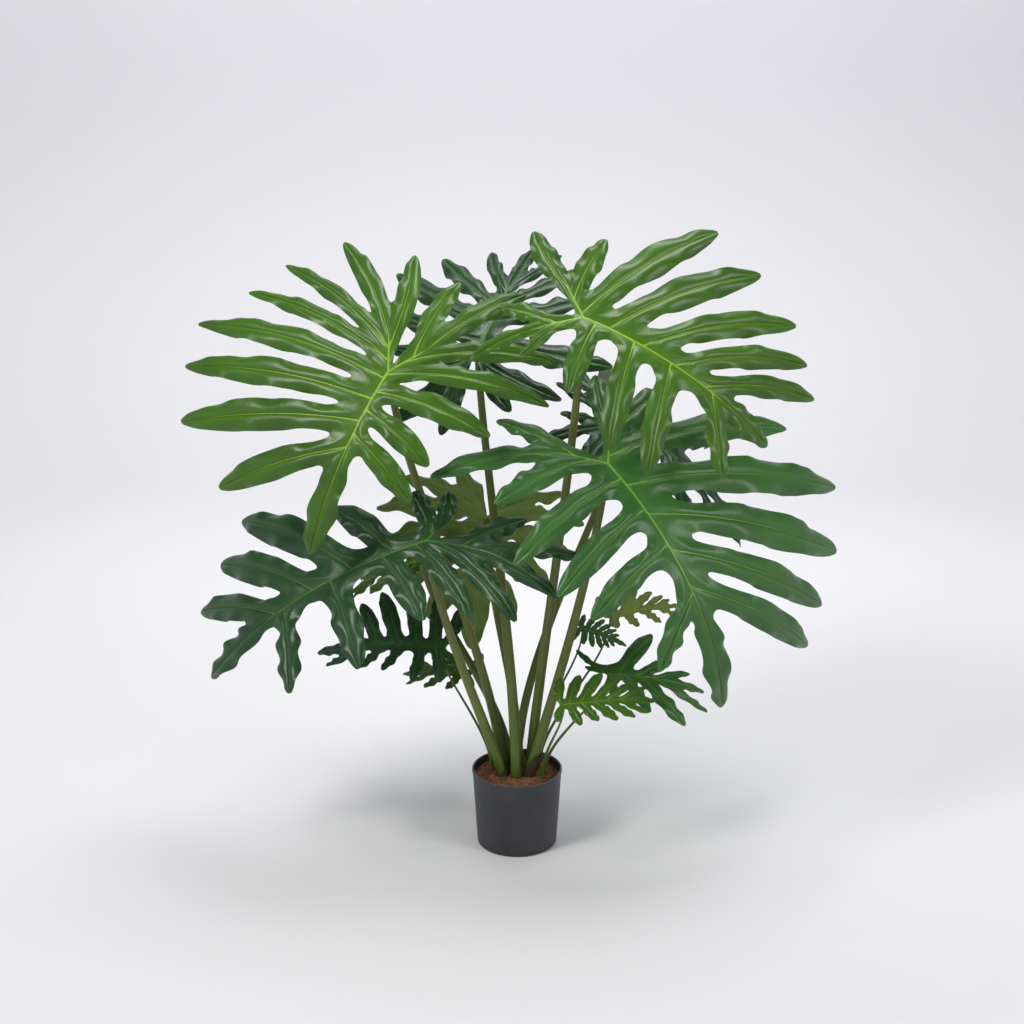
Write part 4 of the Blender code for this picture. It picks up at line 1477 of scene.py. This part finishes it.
def pot_look():
    """Charcoal moulded plastic with faint rings and scuffs, a rim painted lighter as a highlight,
    and a dusty foot.
    """
    look = Finish("nursery_pot_plastic")
    grain = look.noise(900.0, 2.0)
    broad = look.noise(16.0, 4.0)
    scuff = look.noise(48.0, 6.0, 0.7, (1.0, 1.0, 4.0))
    rings = look.noise(40.0, 2.0, 0.5, (0.02, 0.02, 9.0))
    level = look.part(look.here(), "Z")
    colour = look.mix(broad.between(0.3, 0.7), POT_DARK, POT_LIGHT)
    colour = look.mix(scuff.between(0.62, 0.80) * 0.25, colour, POT_SCUFF)
    # Painted highlight: the top 2.2 mm of the rolled rim is painted lighter, as light catching it
    rim = level.between(POT_HEIGHT - 0.0022, POT_HEIGHT)
    colour = look.mix(rim * 0.55, colour, POT_RIM_HIGHLIGHT)
    dust = look.noise(120.0, 5.0).between(0.60, 0.78) * (1.0 - level.between(0.0, 0.012))
    colour = look.mix(dust * 0.4, colour, POT_DUST)
    look.bump(grain * 0.5 + rings * 0.8 + scuff * 0.3, 0.25, 0.0006)
    return look.set(Base_Color=colour, Roughness=0.38 + scuff * 0.14 + grain * 0.04)


def soil_look(name, light):
    """Matte coir in reddish browns with tan and dark grains."""
    look = Finish(name)
    cells = look.cells(420.0)
    broad = look.noise(60.0, 5.0)
    fine = look.noise(700.0, 4.0)
    red, brown = scaled(COIR_RED, light), scaled(COIR_BROWN, light)
    tan, dark = scaled(COIR_TAN, light), scaled(COIR_DARK, light)
    colour = look.mix(broad.between(0.35, 0.65), red, brown)
    colour = look.mix(fine.between(0.52, 0.64) * 0.70, colour, tan)
    colour = look.mix(fine.between(0.36, 0.44) * -0.6 + 0.6, colour, dark)
    look.bump(fine + cells * 0.7, 0.9, 0.0015)
    return look.set(Base_Color=colour, Roughness=0.88)


def sheath_look():
    """Dry brown fibre, streaked along the stalk."""
    look = Finish("dry_sheath")
    streak = look.noise(60.0, 5.0, 0.6, (6.0, 6.0, 0.6))
    fine = look.noise(300.0, 3.0)
    colour = look.mix(streak.between(0.35, 0.70), SHEATH_DARK, SHEATH_LIGHT)
    look.bump(streak + fine * 0.4, 0.6, 0.0012)
    return look.set(Base_Color=colour, Roughness=0.62 + fine * 0.1)


# Pot, soil and sheaths


def drawn_up(name, outline, sides):
    """A disk at the outline's first radius and level, drawn up through its other ones.

    The last ring closes with a flat face, as the first does.
    """
    deselect()
    radius, level = outline[0]
    bpy.ops.mesh.primitive_circle_add(
        vertices=sides, radius=radius, fill_type="NGON", location=(0.0, 0.0, level)
    )
    thing = bpy.context.object
    thing.name = thing.data.name = name
    bpy.ops.object.transform_apply(location=True, rotation=True, scale=True)
    bpy.ops.object.mode_set(mode="EDIT")
    bpy.ops.mesh.select_mode(type="FACE")
    bpy.ops.mesh.select_all(action="SELECT")
    for next_radius, next_level in outline[1:]:
        bpy.ops.mesh.extrude_region_move(
            TRANSFORM_OT_translate={"value": (0.0, 0.0, next_level - level)}
        )
        share = next_radius / radius
        bpy.ops.transform.resize(value=(share, share, 1.0), center_override=(0.0, 0.0, next_level))
        radius, level = next_radius, next_level
    bpy.ops.mesh.select_all(action="SELECT")
    bpy.ops.mesh.normals_make_consistent(inside=False)
    bpy.ops.mesh.select_all(action="DESELECT")
    bpy.ops.object.mode_set(mode="OBJECT")
    return thing


def pot_outline():
    """The pot's section from under its foot, up the wall, over the rim and down inside."""
    wall = RIM_RADIUS - LIP_WIDTH
    lip = POT_HEIGHT - LIP_HEIGHT
    outline = []
    for k in range(FOOT_STEPS + 1):
        turn = math.pi / 2 * k / FOOT_STEPS
        outline.append((FOOT_RADIUS - FOOT_CHAMFER + FOOT_CHAMFER * math.sin(turn),
                        FOOT_CHAMFER - FOOT_CHAMFER * math.cos(turn)))
    for k in range(1, WALL_STEPS + 1):
        share = k / WALL_STEPS
        level = FOOT_CHAMFER + (lip - LIP_WIDTH - FOOT_CHAMFER) * share
        outline.append((FOOT_RADIUS + (wall - FOOT_RADIUS) * share, level))
    outline += [(RIM_RADIUS - 0.0002, lip - 0.0002), (RIM_RADIUS, lip + 0.0003)]
    inner = inner_radius(POT_HEIGHT)
    half = (RIM_RADIUS - inner) / 2
    for k in range(ROLL_STEPS + 1):
        turn = math.pi * k / ROLL_STEPS
        outline.append((inner + half + half * math.cos(turn),
                        POT_HEIGHT - RIM_ROLL + RIM_ROLL * math.sin(turn)))
    for k in range(1, INSIDE_STEPS + 1):
        level = POT_HEIGHT - RIM_ROLL - (POT_HEIGHT - RIM_ROLL - POT_FLOOR) * k / INSIDE_STEPS
        outline.append((inner_radius(level), level))
    return outline


def pot_piece():
    """The pot: a rounded foot, a leaning wall, a lip with a rolled top, and the floor inside."""
    pot = drawn_up("nursery_pot", pot_outline(), POT_TURN_SIDES)
    bpy.ops.object.shade_smooth_by_angle(angle=math.radians(SHARP_EDGE_DEGREES))
    pot.data.materials.append(pot_look())
    return pot


def soil_piece(material):
    """The soil: plain sides against the pot, and a rough top with the stalks' feet in it."""
    rng = np.random.default_rng(5)
    reach = (-SOIL_BUMP_REACH, SOIL_BUMP_REACH)
    spans = (reach, reach, SOIL_BUMP_WIDTH, SOIL_BUMP_HEIGHT)
    bumps = [tuple(rng.uniform(*span) for span in spans) for _ in range(SOIL_BUMPS)]
    radius = inner_radius(SOIL_TOP + SOIL_LIFT) - SOIL_GAP
    levels = np.linspace(POT_FLOOR + SOIL_GAP, SOIL_TOP, SOIL_SIDE_STEPS + 1)[:-1]
    outline = [(inner_radius(level) - SOIL_GAP, level) for level in levels]
    outline += [(radius * (1 - k / SOIL_RINGS), SOIL_TOP) for k in range(SOIL_RINGS)]
    soil = drawn_up("soil_bed", outline, SOIL_TURN_SIDES)
    top = SOIL_TOP - 1e-5
    for face in soil.data.polygons:
        face.select = face.center.z > top and len(face.vertices) > 4
    bpy.ops.object.mode_set(mode="EDIT")
    bpy.ops.mesh.poke()
    bpy.ops.object.mode_set(mode="OBJECT")
    for vertex in soil.data.vertices:
        x, y, z = vertex.co
        if z > top:
            level = soil_height(x, y) + SOIL_LIFT
            for bx, by, wide, tall in bumps:
                level += tall * math.exp(-((x - bx) ** 2 + (y - by) ** 2) / wide**2)
            vertex.co.z = level + 0.0004 * math.sin(611 * x + 3) * math.sin(547 * y + 1)
    soil.data.shade_smooth()
    soil.data.materials.append(material)
    return soil


def crumb_piece(name, material, count, seed, low, high):
    """Many small crumbs and fibres of coir lying on the soil, clear of the stalks."""
    rng = random.Random(seed)
    deselect()
    bpy.ops.mesh.primitive_ico_sphere_add(subdivisions=1, radius=1.0)
    start = bpy.context.object
    base = np.array([vertex.co[:] for vertex in start.data.vertices])
    base_faces = [tuple(face.vertices) for face in start.data.polygons]
    bpy.data.objects.remove(start, do_unlink=True)
    reach = inner_radius(SOIL_TOP) - CRUMB_TO_POT
    points, faces, total = [], [], 0
    while total < count:
        distance = reach * math.sqrt(rng.random())
        angle = rng.uniform(0, 2 * math.pi)
        x, y = distance * math.cos(angle), distance * math.sin(angle)
        if any(
            math.dist((x, y), spec["foot"]) < spec["stalk"] + CRUMB_TO_STALK
            for spec in LEAVES.values()
        ):
            continue
        size = rng.uniform(low, high)
        stretch = np.array([rng.uniform(0.7, 1.8), rng.uniform(0.6, 1.1), rng.uniform(0.4, 0.8)])
        spin = rng.uniform(0, math.pi)
        cos, sin = math.cos(spin), math.sin(spin)
        turn = np.array([[cos, -sin, 0], [sin, cos, 0], [0, 0, 1]])
        jag = np.array([rng.uniform(0.75, 1.25) for _ in range(len(base))])[:, None]
        grain = (base * jag * stretch * size) @ turn.T
        points.append(grain + np.array([x, y, soil_height(x, y) + SOIL_LIFT + size * 0.15]))
        faces += [tuple(corner + total * len(base) for corner in face) for face in base_faces]
        total += 1
    return mesh_piece(name, np.vstack(points), faces, [material], smooth=False)


def sheath_piece(name, spec, material, share, lift, opening, seed):
    """A dry papery sheath wrapped round the foot of a stalk, open on one side."""
    around, rows = SHEATH_STEPS
    steps = SHEATH_LINE_STEPS
    deselect()
    bpy.ops.mesh.primitive_grid_add(x_subdivisions=around - 1, y_subdivisions=rows - 1, size=1.0)
    sheath = bpy.context.object
    sheath.name = sheath.data.name = name
    line = stalk_line(spec, np.linspace(0.0, share, steps + 1))
    for vertex in sheath.data.vertices:
        side, way = vertex.co.x + 0.5, vertex.co.y + 0.5
        at = min(max(way * steps, 0.0), steps - 0.001)
        number = int(at)
        middle = line[number] + (line[number + 1] - line[number]) * (at - number)
        along = unit(line[number + 1] - line[number])
        across, aside = ring_axes(along)
        wrap = math.radians(SHEATH_WRAP - SHEATH_OPENING * way**1.3)
        angle = opening + wrap * (side - 0.5)
        ripples = 1 + 0.05 * math.sin(angle * 5 + seed) * way
        radius = (spec["stalk"] + 0.0011 + 0.0028 * way + lift * way**2) * ripples
        ragged = 0.004 * way**4 * math.sin(9 * side + seed)
        middle = middle - np.array([0.0, 0.0, 0.003 * (1 - way)]) + along * ragged
        vertex.co = middle + radius * (math.cos(angle) * across + math.sin(angle) * aside)
    bpy.ops.object.modifier_add(type="SOLIDIFY")
    sheath.modifiers[-1].thickness = SHEATH_WALL
    sheath.modifiers[-1].offset = 1.0
    bpy.ops.object.modifier_apply(modifier=sheath.modifiers[-1].name)
    bpy.ops.object.shade_smooth_by_angle(angle=math.radians(SHARP_EDGE_DEGREES))
    sheath.data.materials.append(material)
    return sheath


# The plant put together

looks = {
    tone: [
        leaf_upper(f"{tone}_leaf_upper", colours),
        leaf_under(f"{tone}_leaf_under", colours),
        leaf_edge(f"{tone}_leaf_edge", colours),
        leaf_vein(f"{tone}_leaf_vein", colours),
    ]
    for tone, colours in LEAF_COLOURS.items()
}
stalk_olive = stalk_look("stalk_olive", OLD_STALK)
stalk_fresh = stalk_look("stalk_fresh", YOUNG_STALK)

for name, spec in LEAVES.items():
    leaf_object = blade_piece(name, spec, looks[spec["green"]])
    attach(leaf_object, "root")
    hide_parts(f"blade_{name}")
    stem = stalk_piece(name, spec, stalk_fresh if spec["small"] else stalk_olive)
    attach(stem, "root")
    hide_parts(f"stalk_{name}")

pot = pot_piece()
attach(pot, "root")
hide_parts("pot")

bed = soil_piece(soil_look("coir_bed", 1.0))
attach(bed, "root")
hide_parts("soil")

# Each heap of crumbs: how light its coir is, how many, the seed, and the least and most size
for name, light, count, seed, low, high in (
    ("coir_crumbs_dark", 0.55, 900, 11, 0.0007, 0.0017),
    ("coir_crumbs_red", 1.1, 700, 12, 0.0006, 0.0015),
    ("coir_crumbs_tan", 2.0, 260, 13, 0.0005, 0.0011),
):
    crumbs = crumb_piece(name, soil_look(name, light), count, seed, low, high)
    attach(crumbs, "root")

# Each sheath: its leaf, its share of the stalk, its flare, where it opens, and the seed
dry = sheath_look()
for name, leaf_name, share, lift, opening, seed in (
    ("sheath_right", "middle_right", 0.080, 0.0006, -0.35, 3),
    ("sheath_left", "lower_left", 0.045, 0.0006, 0.5, 4),
):
    sheath = sheath_piece(name, LEAVES[leaf_name], dry, share, lift, opening, seed)
    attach(sheath, "root")


# Floor, light and camera

FLOOR_FRONT = -2.2
FLOOR_BACK = 2.0
FLOOR_HALF_WIDTH = 2.8
FLOOR_DROP = 0.0002
SWEEP_RADIUS = 1.2
SWEEP_STEPS = 12
WALL_TOP = 5.0
FLOOR_SHADES = (0.705, 0.708, 0.735), (0.735, 0.738, 0.765)
# Painted light: the bright band where the floor meets the wall, with the wall fading to a darker
# painted shade higher up
PAINTED_GLOW_AT_WALL = (0.955, 0.957, 0.990)
WALL_SHADE = (0.750, 0.752, 0.790)
SKY_LOW, SKY_HIGH = (0.78, 0.78, 0.80), (0.17, 0.17, 0.18)
LENS = 67.2
SENSOR = 36.0
SHIFT = -0.0049
CAMERA_PLACE = (0.0, -2.9135, 1.5040)
CAMERA_DOWN_DEGREES = 17.6


def backdrop():
    """A floor that sweeps up into a wall behind the plant, with painted light: brighter where the
    floor meets the wall.
    """
    look = Finish("studio_sweep")
    back, level = look.part(look.here(), "Y"), look.part(look.here(), "Z")
    colour = look.mix(look.noise(0.8, 2.0), *FLOOR_SHADES)
    # Painted light: the floor is painted brighter towards the wall, and the wall darker again
    # higher up, for how the studio light falls on the sweep
    colour = look.mix(back.between(-0.6, 1.8), colour, PAINTED_GLOW_AT_WALL)
    colour = look.mix(level.between(0.05, 1.1), colour, WALL_SHADE)
    look.set(Base_Color=colour, Roughness=0.9)
    section = [(FLOOR_FRONT, 0.0), (FLOOR_BACK, 0.0)]
    for k in range(1, SWEEP_STEPS + 1):
        turn = math.pi / 2 * k / SWEEP_STEPS
        section.append((FLOOR_BACK + SWEEP_RADIUS * math.sin(turn),
                        SWEEP_RADIUS - SWEEP_RADIUS * math.cos(turn)))
    section.append((FLOOR_BACK + SWEEP_RADIUS, WALL_TOP))
    points = [(x, y, z - FLOOR_DROP) for y, z in section
              for x in (-FLOOR_HALF_WIDTH, FLOOR_HALF_WIDTH)]
    faces = [(2 * k, 2 * k + 1, 2 * k + 3, 2 * k + 2) for k in range(len(section) - 1)]
    return mesh_piece("studio_sweep", points, faces, [look.material])


backdrop()


def soft_light(name, place, aim, size, power, colour):
    """A round lamp of this size that looks at a point."""
    light = bpy.data.lights.new(name, "AREA")
    light.shape = "DISK"
    light.size = size
    light.energy = power
    light.color = colour
    thing = bpy.data.objects.new(name, light)
    bpy.context.scene.collection.objects.link(thing)
    thing.location = place
    away = np.array(place) - np.array(aim)
    tilt = math.atan2(math.hypot(away[0], away[1]), away[2])
    thing.rotation_euler = (tilt, 0.0, math.atan2(away[0], -away[1]))


soft_light("key_left", (-2.0, -1.5, 2.9), (0.0, 0.0, 0.5), 1.1, 64.0, (1.0, 0.99, 0.94))
soft_light("fill_right", (2.4, -1.6, 1.8), (0.0, 0.0, 0.5), 1.2, 27.0, (1.0, 1.0, 0.97))
soft_light("top", (0.45, 0.35, 3.0), (0.0, 0.0, 0.4), 1.3, 36.0, (1.0, 1.0, 0.98))
soft_light("wall_wash", (0.0, 1.1, 2.4), (0.0, 2.3, 0.0), 1.6, 9.0, (0.98, 0.98, 1.0))

world = bpy.data.worlds.new("studio_air")
world.use_nodes = True
air = Nodes(world.node_tree)
height_seen = air.part(air.node("ShaderNodeTexCoord").outputs["Generated"], "Z")
sky = air.mix(height_seen.between(0.10, 0.55), SKY_LOW, SKY_HIGH)
air.feed(air.tree.nodes["Background"].inputs["Color"], sky)
bpy.context.scene.world = world
bpy.context.scene.view_settings.view_transform = "Standard"

camera = bpy.data.cameras.new("view")
camera.sensor_width = SENSOR
camera.lens = LENS
camera.shift_x = SHIFT
camera_object = bpy.data.objects.new("view", camera)
camera_object.location = CAMERA_PLACE
camera_object.rotation_euler = (math.radians(90 - CAMERA_DOWN_DEGREES), 0.0, 0.0)
bpy.context.scene.collection.objects.link(camera_object)
bpy.context.scene.camera = camera_object
